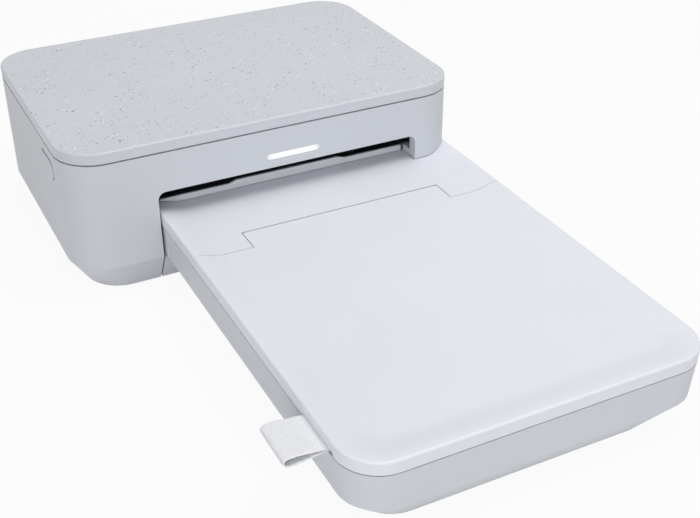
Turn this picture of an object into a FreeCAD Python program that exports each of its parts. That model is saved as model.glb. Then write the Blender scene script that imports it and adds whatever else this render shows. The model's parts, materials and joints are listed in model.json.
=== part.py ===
import FreeCAD, Part
import math
import os

Vec = FreeCAD.Vector

# Driving dimensions, in millimetres. X runs along the body's width, Y from the
# tray's front to the body's rear, Z up. While modelling, y = 0 is the body's front face.

# Casing
body_width = 178.0
body_depth = 123.5
body_height = 68.0
body_corner = 17.5
wall = 2.4
bevel_top_z = 15.2
bevel_inset = 8.2
bevel_corner = 16.3
foot_proud = 0.6
cover_band = 4.7
cover_groove = 0.7
cover_edge_round = 0.7
cover_top = 2.4
lip_thick = 1.4
lip_drop = 2.3
fit_gap = 0.15
ledge_thick = 1.2
ledge_wide = 3.2
floor_thick = 2.2
part_gap = 0.4
overrun = 1.0

half_width = body_width / 2

# Tray
tray_left_share = 0.58427
tray_side_inset = 1.3
tray_left_x = -half_width * tray_left_share
tray_right_x = half_width - tray_side_inset

# Paper mouth in the front face
mouth_right_share = 0.7573
mouth_side_gap = 0.7
mouth_left_x = tray_left_x - mouth_side_gap
mouth_right_x = half_width * mouth_right_share
mouth_top_z = 45.2
mouth_corner = 3.5
mouth_depth = 11.0
mouth_niche_y = 5.0
mouth_niche_low_z = 36.2
mouth_niche_high_z = 44.6

# Tray heights, walls and reach
tray_reach = 175.7
tray_insert = 24.0
cover_rear_y = 14.0
tray_corner = 15.7
seam_z = 30.1
seam_gap = 0.4
rim_z = 35.2
dish_depth = 2.0
dish_slope_wide = 12.0
dish_rim_wide = 1.3
dish_floor_corner = 8.0
top_edge_round = 0.8
lid_thick = 1.6
lid_skirt = 2.0
tub_wall = 2.2
tub_draft = 1.1
tub_bevel_z = 14.7
tub_bevel_inset = 10.8
tub_bevel_corner = 15.2
insert_side_gap = 0.5
insert_lift = 0.3
bay_top_z = 14.9
bay_depth = 24.8
dish_steps = 8
run_on = 40.0

# Tray lid hinge
hinge_y = -27.6
hinge_z = 31.0
wing_radius = 10.6
tab_left_inset = 25.2
tab_right_inset = 24.3
tab_left_x = tray_left_x + tab_left_inset
tab_right_x = tray_right_x - tab_right_inset
tab_back = 1.8
tab_corner = 1.8
hinge_gap = 0.36
lid_pin_radius = 0.6
knuckle_radius = 1.7
lug_radius = 1.3
lug_arm = 1.3
lug_drop = 3.4
knuckle_long = 8.0
running_gap = 0.05

# Paper bay in the tray
paper_side_inset = 18.4
paper_front_inset = 13.7
paper_left_x = tray_left_x + paper_side_inset
paper_right_x = tray_right_x - paper_side_inset
paper_front_y = paper_front_inset - tray_reach
guide_thick = 1.6
guide_top_z = 29.0
deck_z = 18.4
plate_thick = 1.0
plate_reach = 74.0
plate_pivot_y = paper_front_y + plate_reach
plate_play = 0.3
plate_pivot_z = 20.6
plate_pivot_radius = 1.2
rear_sill_z = 21.0

# Chassis and rollers: each centre is (y, z), and the depths are shares of the body's depth
chassis_side_room = 3.6
chassis_left_x = tray_left_x
chassis_right_x = mouth_right_x + chassis_side_room
chassis_thick = 1.6
capstan_share = 0.30769
platen_share = 0.48583
supply_share = 0.71255
chassis_ahead = 10.0
chassis_rear_room = 11.5
chassis_top_room = 5.6
pickup_ahead = 19.5
take_up_ahead = 1.0
paper_path_z = 38.6
capstan_y = body_depth * capstan_share
chassis_front_y = capstan_y - chassis_ahead
chassis_rear_y = body_depth - chassis_rear_room
chassis_top_z = body_height - chassis_top_room
capstan_radius = 5.0
capstan_shaft = 2.5
pinch_radius = 2.5
pinch_shaft = 1.2
nip_gap = 0.05
platen_y = body_depth * platen_share
platen_radius = 7.0
platen_shaft = 2.0
bush_thick = 1.4
pickup_y = capstan_y - pickup_ahead
pickup_z = 33.5
pickup_radius = 3.4
pickup_shaft = 1.2
pulley_radius = 3.0
belt_thick = 0.8

# Gears
gear_module = 0.5
capstan_teeth = 36
idler_teeth = 32
pinion_teeth = 12
take_up_teeth = 32
gear_backlash = 0.12
tooth_tip_share = 0.8
tooth_root_share = 1.25
pressure_angle = math.radians(20.0)
gear_wide = 3.4
gear_room = 2.0
gear_plane_x = chassis_left_x - chassis_thick - gear_room - gear_wide
gearbox_x = gear_plane_x - overrun
gearbox_thick = 1.4
feed_motor_radius = 9.0
ribbon_motor_radius = 7.0
motor_end_room = 2.0
motor_shaft = 1.0

# Ribbon cartridge
take_up_y = capstan_y - take_up_ahead
take_up_z = 51.6
supply_y = body_depth * supply_share
supply_z = 50.2
take_up_house = 7.2
supply_house = 8.6
house_wall = 1.2
take_up_wound = 4.8
supply_wound = 6.4
spool_stub = 2.0
film_thick = 0.3

# Small parts
button_y = 30.0
button_z = 53.5
button_long = 20.0
button_high = 9.0
button_travel = 1.0
button_gap = 0.6
button_proud = 0.3
light_share = 0.0888
light_x = half_width * light_share
light_z = 50.3
light_long = 24.5
light_high = 2.4
door_ahead = 1.0
door_behind = 12.0
door_over_path = 1.8
door_front_y = chassis_front_y - door_ahead
door_rear_y = supply_y + door_behind
door_low_z = paper_path_z + door_over_path
door_pin_radius = 0.6
foot_radius = 5.0
foot_seat = 0.8
screw_radius = 1.2
screw_head_radius = 2.4
screw_head_high = 1.5
fan_side = 20.0
fan_deep = 8.0
fan_share = 0.5393
fan_x = half_width * fan_share
fan_low_z = 15.5

# Derived places
shell_top_z = body_height - cover_band - cover_groove
lip_low_z = body_height - cover_band - lip_drop
ledge_low_z = lip_low_z - ledge_thick
door_high_z = ledge_low_z - part_gap
inner_x = half_width - wall
inner_rear_y = body_depth - wall
floor_top_z = foot_proud + floor_thick
tub_top_z = seam_z - seam_gap
insert_low_z = bay_top_z + insert_lift
insert_left_x = tray_left_x + insert_side_gap
insert_right_x = tray_right_x - insert_side_gap
dish_z = rim_z - dish_depth
capstan_z = paper_path_z - capstan_radius - nip_gap
pinch_z = paper_path_z + pinch_radius + nip_gap
platen_z = paper_path_z - platen_radius - nip_gap
left_plate_outer_x = chassis_left_x - chassis_thick
right_plate_outer_x = chassis_right_x + chassis_thick
paper_middle_x = (paper_left_x + paper_right_x) / 2
shift_y = (tray_reach - body_depth) / 2

nodes = {}


def keep(name, shape):
    nodes[name] = shape


def block(x0, x1, y0, y1, z0, z1):
    return Part.makeBox(x1 - x0, y1 - y0, z1 - z0, Vec(x0, y0, z0))


def rod_x(y, z, x0, x1, radius):
    return Part.makeCylinder(radius, x1 - x0, Vec(x0, y, z), Vec(1, 0, 0))


def rod_y(x, z, y0, y1, radius):
    return Part.makeCylinder(radius, y1 - y0, Vec(x, y0, z), Vec(0, 1, 0))


def rod_z(x, y, z0, z1, radius):
    return Part.makeCylinder(radius, z1 - z0, Vec(x, y, z0), Vec(0, 0, 1))


def tube_x(y, z, x0, x1, outer, inner):
    return rod_x(y, z, x0, x1, outer).cut(rod_x(y, z, x0 - overrun, x1 + overrun, inner))


def join(shapes):
    whole = shapes[0]
    if len(shapes) > 1:
        whole = shapes[0].fuse(shapes[1:])
    return whole.removeSplitter()


def outline(x0, x1, y0, y1, z, front, rear):
    """Rounded rectangle: front and rear are corner radii, and zero is a square corner."""
    corners = [(x0, y0, front, 1, 1), (x1, y0, front, -1, 1),
               (x1, y1, rear, -1, -1), (x0, y1, rear, 1, -1)]
    runs = []
    for index, (x, y, radius, sx, sy) in enumerate(corners):
        if radius == 0:
            runs.append([Vec(x, y, z)])
            continue
        side = Vec(x, y + sy * radius, z)
        across = Vec(x + sx * radius, y, z)
        centre = Vec(x + sx * radius, y + sy * radius, z)
        out = Vec(x, y, z) - centre
        middle = centre + out.normalize() * radius
        ends = [side, middle, across]
        runs.append(ends if index % 2 == 0 else ends[::-1])
    edges = []
    for index, run in enumerate(runs):
        if len(run) > 1:
            edges.append(Part.Arc(run[0], run[1], run[2]).toShape())
        nxt = runs[(index + 1) % len(runs)]
        edges.append(Part.makeLine(run[-1], nxt[0]))
    return Part.Wire(edges)


def prism(wire, height):
    return Part.Face(wire).extrude(Vec(0, 0, height))


def loft(wires):
    return Part.makeLoft(wires, True, True)


def pill_x(y, z, long, high, x0, x1):
    """Pill lying along Y, cut from x0 to x1."""
    reach = (long - high) / 2
    radius = high / 2
    body = block(x0, x1, y - reach, y + reach, z - radius, z + radius)
    return join([body, rod_x(y - reach, z, x0, x1, radius), rod_x(y + reach, z, x0, x1, radius)])


def pill_y(x, z, long, high, y0, y1):
    """Pill lying along X, cut from y0 to y1."""
    reach = (long - high) / 2
    radius = high / 2
    body = block(x - reach, x + reach, y0, y1, z - radius, z + radius)
    return join([body, rod_y(x - reach, z, y0, y1, radius), rod_y(x + reach, z, y0, y1, radius)])


def screw_up(x, y, head_z, long):
    """Pan-head screw driven upwards, its head's top face at head_z."""
    head = rod_z(x, y, head_z - screw_head_high, head_z, screw_head_radius)
    return join([head, rod_z(x, y, head_z - screw_head_high / 2, head_z + long, screw_radius)])


def coil_z(x, y, z0, z1, radius, wire, turns):
    """Compression spring standing along Z, its wire kept inside z0 and z1."""
    path = Part.makeLongHelix((z1 - z0 - wire - wire) / turns, z1 - z0 - wire - wire, radius)
    path.translate(Vec(0, 0, wire))
    ring = Part.Wire(Part.makeCircle(wire, Vec(radius, 0, wire), Vec(0, 1, 0)))
    coil = Part.Wire(path.Edges).makePipeShell([ring], True, True)
    coil.translate(Vec(x, y, z0))
    return coil


# Casing

def body_wire(z, inset):
    drop = max(0, bevel_top_z - z) / (bevel_top_z - foot_proud)
    grow = inset + bevel_inset * drop
    radius = body_corner - inset - (body_corner - bevel_corner) * drop
    return outline(grow - half_width, half_width - grow, grow, body_depth - grow, z, radius, radius)


def body_solid(z0, z1, inset):
    if z0 >= bevel_top_z:
        return prism(body_wire(z0, inset), z1 - z0)
    low = loft([body_wire(z0, inset), body_wire(min(z1, bevel_top_z), inset)])
    if z1 <= bevel_top_z:
        return low
    return join([low, prism(body_wire(bevel_top_z, inset), z1 - bevel_top_z)])


def dish_tool(lift, rear_y):
    """The hollow above the tray's dished top, raised by lift and open to the rear."""
    wires = []
    for step in range(dish_steps + 1):
        share = step / dish_steps
        rise = share * share * (3 - 2 * share)
        inset = dish_rim_wide + dish_slope_wide * (1 - share)
        corner = dish_floor_corner + (tray_corner - dish_rim_wide - dish_floor_corner) * share
        wires.append(outline(tray_left_x + inset, tray_right_x - inset, inset - tray_reach, rear_y + run_on - inset,
                             dish_z + dish_depth * rise + lift, corner, corner))
    low = loft(wires)
    top = prism(wires[-1], overrun + dish_depth)
    return join([low, top])


def tray_pass():
    """Everything that the tray's inserted end needs free under the casing's right front corner."""
    full = block(mouth_right_x - overrun, half_width + overrun, -overrun, bay_depth,
                 -overrun, rim_z + part_gap)
    hump = dish_tool(part_gap, bay_depth + overrun)
    return full.cut(hump)


def make_casing():
    shell = body_solid(foot_proud, shell_top_z, 0)
    shell = shell.cut(body_solid(foot_proud - overrun, shell_top_z + overrun, wall))
    ledge = prism(body_wire(ledge_low_z, wall / 2), ledge_thick)
    ledge = ledge.cut(prism(body_wire(ledge_low_z - overrun, wall + ledge_wide), ledge_thick + overrun * 2))
    mouth_wide = outline(mouth_left_x, mouth_right_x, foot_proud - overrun * 2, mouth_top_z, 0, 0, mouth_corner)
    mouth_wide.rotate(Vec(0, 0, 0), Vec(1, 0, 0), 90)
    mouth = Part.Face(mouth_wide).extrude(Vec(0, mouth_depth + overrun * 2, 0))
    mouth.translate(Vec(0, -overrun, 0))
    sleeve_wire = outline(mouth_left_x - wall, mouth_right_x + wall, foot_proud, mouth_top_z + wall, 0, 0,
                          mouth_corner + wall)
    sleeve_wire.rotate(Vec(0, 0, 0), Vec(1, 0, 0), 90)
    sleeve = Part.Face(sleeve_wire).extrude(Vec(0, mouth_depth, 0))
    sleeve = sleeve.common(body_solid(foot_proud, shell_top_z, wall / 2))

    gusset_y = 18.0
    gusset_side = 16.0
    gusset_drop = 2.0
    gusset_low_z = ledge_low_z - gusset_drop
    gusset_room = body_solid(gusset_low_z, ledge_low_z + ledge_thick, wall / 2)
    adds = [ledge, sleeve]
    for sx in (-1, 1):
        x0, x1 = sorted((sx * (half_width - gusset_side), sx * half_width))
        for y0, y1 in ((0, gusset_y), (body_depth - gusset_y, body_depth)):
            adds.append(gusset_room.common(block(x0, x1, y0, y1, gusset_low_z, lip_low_z)))
    boss_radius = 2.5
    boss_high = 10.0
    rib = 1.0
    for x, y in base_screw_places():
        boss = rod_z(x, y, floor_top_z, floor_top_z + boss_high, boss_radius)
        side = half_width if x > 0 else -half_width
        x0, x1 = sorted((x, side))
        boss = boss.fuse(block(x0, x1, y - rib, y + rib, floor_top_z, floor_top_z + boss_high))
        boss = boss.common(body_solid(floor_top_z, shell_top_z, wall / 2))
        adds.append(boss.cut(rod_z(x, y, floor_top_z - overrun, floor_top_z + boss_high - rib, screw_radius)))
    post_radius = 1.8
    for y in button_post_places():
        post = rod_x(y, button_z, wall / 2 - half_width, button_board_x, post_radius)
        adds.append(post)
    shell = join([shell] + adds)

    niche = block(mouth_right_x - overrun, mouth_right_x + wall + overrun, mouth_niche_y, mouth_depth + overrun,
                  mouth_niche_low_z, mouth_niche_high_z)
    shell = shell.cut(mouth)
    shell = shell.cut(niche)
    shell = shell.cut(tray_pass())
    shell = shell.cut(block(mouth_left_x, mouth_right_x + wall * 2, -overrun, bay_depth,
                            foot_proud - overrun, tub_bevel_z))
    shell = shell.cut(pill_x(button_y, button_z, button_long, button_high, -half_width - overrun,
                             -inner_x + overrun))
    shell = shell.cut(pill_y(light_x, light_z, light_long, light_high, -overrun, wall + overrun))
    door_hole = block(inner_x - overrun, half_width + overrun, door_front_y, door_rear_y, door_low_z, door_high_z)
    shell = shell.cut(door_hole)
    shell = shell.cut(rod_y(door_pin_x, door_pin_z, door_front_y - door_pin_seat, door_rear_y + door_pin_seat,
                            door_pin_radius))
    for x, y in cover_screw_places():
        shell = shell.cut(rod_z(x, y, gusset_low_z - overrun, lip_low_z + overrun, screw_radius + fit_gap))

    slot_drop = 2.8
    slot_low_z = paper_path_z - slot_drop
    slot_high_z = paper_path_z + slot_drop
    slot_side = 2.4
    shell = shell.cut(block(paper_left_x - slot_side, paper_right_x + slot_side, inner_rear_y - overrun,
                            body_depth + overrun, slot_low_z, slot_high_z))
    vent_wide = 1.6
    vent_pitch = 2.9
    vent_count = 6
    for index in range(vent_count):
        x = fan_x + (index - (vent_count - 1) / 2) * vent_pitch
        shell = shell.cut(block(x - vent_wide / 2, x + vent_wide / 2, inner_rear_y - overrun, body_depth + overrun,
                                fan_low_z + wall, fan_low_z + fan_side - wall))
    shell = shell.cut(rod_y(jack_x, jack_z, inner_rear_y - overrun, body_depth + overrun, jack_radius))
    usb_room = block(usb_x - usb_wide / 2 - fit_gap, usb_x + usb_wide / 2 + fit_gap, inner_rear_y - overrun,
                     body_depth + overrun, usb_low_z - fit_gap, usb_low_z + usb_high + fit_gap)
    shell = shell.cut(usb_room)
    keep("outer_shell", shell)

    cover = prism(body_wire(body_height - cover_band, 0), cover_band)
    top_edges = [edge for edge in cover.Edges if edge.BoundBox.ZMin > body_height - overrun / 2]
    cover = cover.makeFillet(cover_edge_round, top_edges)
    skirt = wall + fit_gap + overrun / 4
    cover = cover.cut(prism(body_wire(body_height - cover_band - overrun, skirt), cover_band + overrun - cover_top))
    ring = prism(body_wire(lip_low_z, wall + fit_gap), body_height - cover_top / 2 - lip_low_z)
    ring = ring.cut(prism(body_wire(lip_low_z - overrun, wall + fit_gap + lip_thick),
                          body_height - cover_top / 2 - lip_low_z + overrun * 2))
    cover_adds = [cover, ring]
    boss_radius = 2.8
    for x, y in cover_screw_places():
        post = rod_z(x, y, lip_low_z, body_height - cover_top / 2, boss_radius)
        cover_adds.append(post)
    cover = join(cover_adds)
    screw_bite = 3.6
    for x, y in cover_screw_places():
        cover = cover.cut(rod_z(x, y, lip_low_z - overrun, lip_low_z + screw_bite, screw_radius))
    keep("top_cover", cover)
    grip = lip_low_z - gusset_low_z
    keep("cover_screws", Part.makeCompound(
        [screw_up(x, y, gusset_low_z, grip + screw_bite - fit_gap) for x, y in cover_screw_places()]))


def base_screw_places():
    """(x, y) of the screws that hold the base to the casing."""
    from_chassis = 2.6
    from_front = 26.0
    from_rear = 25.5
    middle_ahead = 24.0
    side_x = right_plate_outer_x + from_chassis
    front_y = from_front
    rear_y = body_depth - from_rear
    middle_y = rear_y - middle_ahead
    return [(-side_x, front_y), (-side_x, middle_y), (side_x, middle_y), (-side_x, rear_y), (side_x, rear_y)]


def cover_screw_places():
    """(x, y) of the screws that hold the top cover's four corner posts."""
    from_side = 11.5
    from_end = 11.5
    return [(sx * (half_width - from_side), y) for sx in (-1, 1) for y in (from_end, body_depth - from_end)]


def button_post_places():
    post_reach = 14.2
    return [button_y - post_reach, button_y + post_reach]


def foot_places():
    """(x, y) of the printer's four feet."""
    from_side = 27.0
    from_front = 18.0
    from_rear = 21.5
    side_x = half_width - from_side
    front_y = from_front
    rear_y = body_depth - from_rear
    return [(-side_x, front_y), (side_x, front_y), (-side_x, rear_y), (side_x, rear_y)]


def tray_foot_places():
    """(x, y) of the tray's two feet."""
    from_side = 24.0
    from_front = 24.0
    return [(tray_left_x + from_side, from_front - tray_reach), (tray_right_x - from_side, from_front - tray_reach)]


def make_base():
    base = body_solid(foot_proud, floor_top_z, wall + fit_gap)
    bay_left_x = mouth_left_x + mouth_side_gap
    bay_zone = block(bay_left_x, half_width + overrun, -overrun, bay_depth - part_gap, -overrun, bay_top_z)
    bay = body_solid(foot_proud, bay_top_z, 0).common(bay_zone)
    hollow_zone = block(bay_left_x + wall, half_width + overrun, -overrun, bay_depth, floor_top_z,
                        bay_top_z - floor_thick)
    bay = bay.cut(body_solid(floor_top_z, bay_top_z - floor_thick, wall).common(hollow_zone))
    base = base.cut(block(mouth_left_x - wall - fit_gap, bay_left_x, -overrun, mouth_depth + fit_gap,
                          -overrun, floor_top_z + overrun))
    base = join([base, bay])
    standoff_radius = 2.5
    for x, y in board_post_places():
        base = base.fuse(rod_z(x, y, floor_top_z - floor_thick / 2, board_low_z, standoff_radius))
    for x, y in foot_places():
        base = base.cut(rod_z(x, y, -overrun, foot_proud + foot_seat, foot_radius))
    for x, y in base_screw_places():
        base = base.cut(rod_z(x, y, -overrun, floor_top_z + overrun, screw_radius + fit_gap))
        base = base.cut(rod_z(x, y, -overrun, foot_proud + screw_head_high, screw_head_radius + fit_gap))
    keep("base_plate", base.removeSplitter())
    keep("printer_feet", Part.makeCompound(
        [rod_z(x, y, 0, foot_proud + foot_seat, foot_radius) for x, y in foot_places()]))
    screw_long = 8.0
    keep("base_screws", Part.makeCompound(
        [screw_up(x, y, foot_proud + screw_head_high, screw_long) for x, y in base_screw_places()]))


# Electronics: the main board lies on posts above the base
board_thick = 1.6
board_low_z = bevel_top_z - board_thick
board_left_room = 6.0
board_right_room = 5.0
board_front_room = 6.0
board_left_x = chassis_left_x + board_left_room
board_right_x = chassis_right_x - board_right_room
board_front_y = chassis_front_y + board_front_room
board_rear_y = chassis_rear_y + part_gap
board_top_z = board_low_z + board_thick
jack_share = 0.382
jack_x = -half_width * jack_share
jack_wide = 9.0
jack_high = 11.0
jack_long = 14.0
jack_radius = 3.6
jack_z = board_top_z + jack_high / 2
usb_share = 0.157
usb_x = -half_width * usb_share
usb_wide = 12.0
usb_high = 6.0
usb_long = 13.0
usb_low_z = board_top_z
button_room = 9.0
button_board_x = button_room - half_width
door_pin_x = half_width - wall / 2
door_pin_z = door_low_z + part_gap + wall / 2
door_pin_seat = 2.0


def board_post_places():
    """(x, y) of the posts under the main board."""
    inset = 5.0
    return [(x, y) for x in (board_left_x + inset, board_right_x - inset)
            for y in (board_front_y + inset, board_rear_y - inset)]


def make_electronics():
    board = block(board_left_x, board_right_x, board_front_y, board_rear_y, board_low_z, board_top_z)
    keep("main_board", board)
    chip_side = 14.0
    chip_high = 1.6
    can_radius = 4.0
    can_high = 9.0
    plug_long = 12.0
    plug_high = 5.0
    plug_wide = 4.5
    row_y = (board_front_y + board_rear_y - chip_side) / 2
    chip_count = 3
    can_count = 2
    can_pitch = 10.0
    board_wide = board_right_x - board_left_x
    chips = []
    for index in range(chip_count):
        x = board_left_x + board_wide * (index + 1) / (chip_count + 1)
        chips.append(block(x, x + chip_side, row_y, row_y + chip_side, board_top_z, board_top_z + chip_high))
        plug_x = board_left_x + board_wide * (index + 1) / (chip_count + 3)
        chips.append(block(plug_x, plug_x + plug_long, row_y - chip_side, row_y - chip_side + plug_wide,
                           board_top_z, board_top_z + plug_high))
    for index in range(can_count):
        x = board_left_x + can_radius * 2 + can_pitch * index
        chips.append(rod_z(x, row_y + chip_side * 2, board_top_z, board_top_z + can_high, can_radius))
    keep("board_components", Part.makeCompound(chips))

    jack = block(jack_x - jack_wide / 2, jack_x + jack_wide / 2, inner_rear_y - jack_long, inner_rear_y,
                 board_top_z, board_top_z + jack_high)
    jack = jack.fuse(rod_y(jack_x, jack_z, inner_rear_y - wall, body_depth - fit_gap, jack_radius - fit_gap))
    barrel = 2.8
    barrel_deep = 10.0
    tip = 0.9
    jack = jack.cut(rod_y(jack_x, jack_z, body_depth - barrel_deep, body_depth + overrun, barrel))
    jack = jack.fuse(rod_y(jack_x, jack_z, body_depth - barrel_deep - overrun, body_depth - wall, tip))
    keep("power_jack", jack.removeSplitter())
    usb = block(usb_x - usb_wide / 2, usb_x + usb_wide / 2, body_depth - usb_long, body_depth - fit_gap,
                usb_low_z, usb_low_z + usb_high)
    shell_thick = 0.5
    usb = usb.cut(block(usb_x - usb_wide / 2 + shell_thick, usb_x + usb_wide / 2 - shell_thick,
                        body_depth - usb_long + shell_thick, body_depth + overrun,
                        usb_low_z + shell_thick, usb_low_z + usb_high - shell_thick))
    tongue = 1.4
    usb = usb.fuse(block(usb_x - usb_wide / 4, usb_x + usb_wide / 4, body_depth - usb_long,
                         body_depth - wall, usb_low_z + usb_high / 2 - tongue / 2, usb_low_z + usb_high / 2 + tongue / 2))
    keep("usb_port", usb.removeSplitter())

    flange_grow = 3.0
    flange_thick = 1.2
    window = pill_y(light_x, light_z, light_long - fit_gap, light_high - fit_gap, 0, wall + flange_thick)
    window = window.fuse(pill_y(light_x, light_z, light_long + flange_grow, light_high + flange_grow,
                                wall, wall + flange_thick))
    keep("led_window", window.removeSplitter())
    light_board_low_z = mouth_top_z + wall
    light_board_high = 8.0
    light_board_reach = 18.0
    lamp_side = 2.0
    board_y = wall + flange_thick + overrun
    strip = [block(light_x - light_board_reach, light_x + light_board_reach, board_y, board_y + board_thick,
                   light_board_low_z, light_board_low_z + light_board_high)]
    lamp_count = 5
    lamp_pitch = 4.8
    lamp_high = 0.8
    for index in range(lamp_count):
        x = light_x + (index - (lamp_count - 1) / 2) * lamp_pitch
        strip.append(block(x - lamp_side / 2, x + lamp_side / 2, board_y - lamp_high, board_y,
                           light_z - lamp_side / 2, light_z + lamp_side / 2))
    keep("led_board", join(strip))

    half_fan = fan_side / 2
    fan_z = fan_low_z + half_fan
    rear_y = inner_rear_y
    fan_bore = 8.8
    frame = block(fan_x - half_fan, fan_x + half_fan, rear_y - fan_deep, rear_y, fan_low_z, fan_low_z + fan_side)
    spoke = 1.4
    spoke_deep = 1.2
    hub_radius = 3.6
    frame = frame.cut(rod_y(fan_x, fan_z, rear_y - fan_deep - overrun, rear_y + overrun, fan_bore))
    for step in range(3):
        bar = block(fan_x, fan_x + fan_bore + overrun / 2, rear_y - spoke_deep, rear_y, fan_z - spoke / 2,
                    fan_z + spoke / 2)
        bar.rotate(Vec(fan_x, rear_y, fan_z), Vec(0, 1, 0), 90 + step * 120)
        frame = frame.fuse(bar)
    axle = 1.0
    frame = frame.fuse(rod_y(fan_x, fan_z, rear_y - spoke_deep, rear_y, hub_radius))
    frame = frame.fuse(rod_y(fan_x, fan_z, rear_y - fan_deep + overrun * 2, rear_y, axle))
    keep("fan_housing", frame.removeSplitter())
    blade_tip = 8.3
    blade_thick = 0.8
    hub_low_y = rear_y - fan_deep + overrun / 2
    hub_high_y = rear_y - spoke_deep - part_gap
    rotor = rod_y(fan_x, fan_z, hub_low_y, hub_high_y, hub_radius)
    reach = blade_tip + overrun * 2
    ring = rod_y(fan_x, fan_z, hub_low_y, hub_high_y, blade_tip)
    blade_count = 7
    blade_pitch = 50.0
    for step in range(blade_count):
        blade = block(fan_x, fan_x + reach, hub_low_y - fan_deep, hub_high_y + fan_deep, fan_z - blade_thick / 2,
                      fan_z + blade_thick / 2)
        blade.rotate(Vec(fan_x, (hub_low_y + hub_high_y) / 2, fan_z), Vec(1, 0, 0), blade_pitch)
        blade.rotate(Vec(fan_x, hub_low_y, fan_z), Vec(0, 1, 0), step * 360 / blade_count)
        rotor = rotor.fuse(blade.common(ring))
    rotor = rotor.cut(rod_y(fan_x, fan_z, hub_low_y + overrun, hub_high_y + overrun, axle + running_gap))
    keep("fan_rotor", rotor.removeSplitter())


def make_button():
    gap = part_gap
    flange_grow = 2.4
    flange_thick = 1.2
    stem_radius = 1.5
    switch_side = 4.5
    switch_high = 1.7
    plunger_radius = 1.2
    board_high = 8.0
    post_reach = button_post_places()[1] - button_y
    stem_end_x = button_board_x - switch_high - part_gap - button_travel
    flange_x = fit_gap - inner_x
    cap = pill_x(button_y, button_z, button_long - button_gap * 2, button_high - button_gap * 2,
                 -half_width - button_proud, flange_x)
    flange = pill_x(button_y, button_z, button_long + flange_grow, button_high + flange_grow, flange_x,
                    flange_x + flange_thick)
    stem = rod_x(button_y, button_z, flange_x, stem_end_x, stem_radius)
    keep("power_button", join([cap, flange, stem]))
    board = block(button_board_x, button_board_x + board_thick, button_y - post_reach - gap * 5,
                  button_y + post_reach + gap * 5, button_z - board_high / 2, button_z + board_high / 2)
    switch = block(button_board_x - switch_high, button_board_x, button_y - switch_side / 2,
                   button_y + switch_side / 2, button_z - switch_side / 2, button_z + switch_side / 2)
    plunger = rod_x(button_y, button_z, button_board_x - switch_high - part_gap / 2,
                    button_board_x, plunger_radius)
    keep("button_board", join([board, switch, plunger]))
    coil_radius = 4.0
    wire = 0.25
    turns = 4
    coil = coil_z(0, 0, flange_x + flange_thick, button_board_x, coil_radius, wire, turns)
    coil.rotate(Vec(0, 0, 0), Vec(0, 1, 0), 90)
    coil.translate(Vec(0, button_y, button_z))
    keep("button_spring", coil)


def make_door():
    gap = part_gap
    y0 = door_front_y + gap
    y1 = door_rear_y - gap
    panel = block(inner_x, half_width, y0, y1, door_pin_z, door_high_z - gap)
    panel = panel.fuse(rod_y(door_pin_x, door_pin_z, y0, y1, wall / 2))
    clip_thick = 1.2
    clip_deep = 4.0
    clip_wide = 6.0
    clip_drop = 2.4
    for y in (y0 + clip_wide, y1 - clip_wide * 2):
        panel = panel.fuse(block(inner_x - clip_deep, inner_x + wall / 2, y, y + clip_wide,
                                 door_high_z - gap - clip_drop - clip_thick, door_high_z - gap - clip_drop))
    panel = panel.cut(rod_y(door_pin_x, door_pin_z, y0 - overrun, y1 + overrun, door_pin_radius + running_gap))
    keep("cartridge_door", panel.removeSplitter())
    keep("door_hinge_pin", rod_y(door_pin_x, door_pin_z, door_front_y - door_pin_seat,
                                 door_rear_y + door_pin_seat, door_pin_radius))


# Gears: spur gears turning about X, each tooth flank an arc through three points of its involute

def involute(angle):
    return math.tan(angle) - angle


def gear(y, z, teeth, x0, x1, first_angle, bore):
    """Spur gear with a tooth centred on first_angle, measured from +Y towards +Z."""
    pitch = gear_module * teeth / 2
    base = pitch * math.cos(pressure_angle)
    tip = pitch + gear_module * tooth_tip_share
    root = pitch - gear_module * tooth_root_share
    start = max(base, root)
    half_pitch = math.pi / teeth

    def half_width_at(radius):
        turned = involute(math.acos(min(1, base / radius)))
        return half_pitch / 2 - gear_backlash / pitch / 2 + involute(pressure_angle) - turned

    def spot(radius, angle):
        return Vec(x0, y + radius * math.cos(angle), z + radius * math.sin(angle))

    edges = []
    for index in range(teeth):
        centre = first_angle + index * half_pitch * 2
        after = centre + half_pitch * 2
        wide = half_width_at(start)
        middle = (start + tip) / 2
        edges.append(Part.makeLine(spot(root, centre - wide), spot(start, centre - wide))
                     if root < start else None)
        edges.append(Part.Arc(spot(start, centre - wide), spot(middle, centre - half_width_at(middle)),
                              spot(tip, centre - half_width_at(tip))).toShape())
        edges.append(Part.makeLine(spot(tip, centre - half_width_at(tip)), spot(tip, centre + half_width_at(tip))))
        edges.append(Part.Arc(spot(tip, centre + half_width_at(tip)), spot(middle, centre + half_width_at(middle)),
                              spot(start, centre + wide)).toShape())
        edges.append(Part.makeLine(spot(start, centre + wide), spot(root, centre + wide))
                     if root < start else None)
        edges.append(Part.makeLine(spot(root, centre + wide), spot(root, after - wide)))
    wheel = Part.Face(Part.Wire([edge for edge in edges if edge])).extrude(Vec(x1 - x0, 0, 0))
    if bore:
        wheel = wheel.cut(rod_x(y, z, x0 - overrun, x1 + overrun, bore))
    return wheel


def pitch_of(teeth):
    return gear_module * teeth / 2


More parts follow.
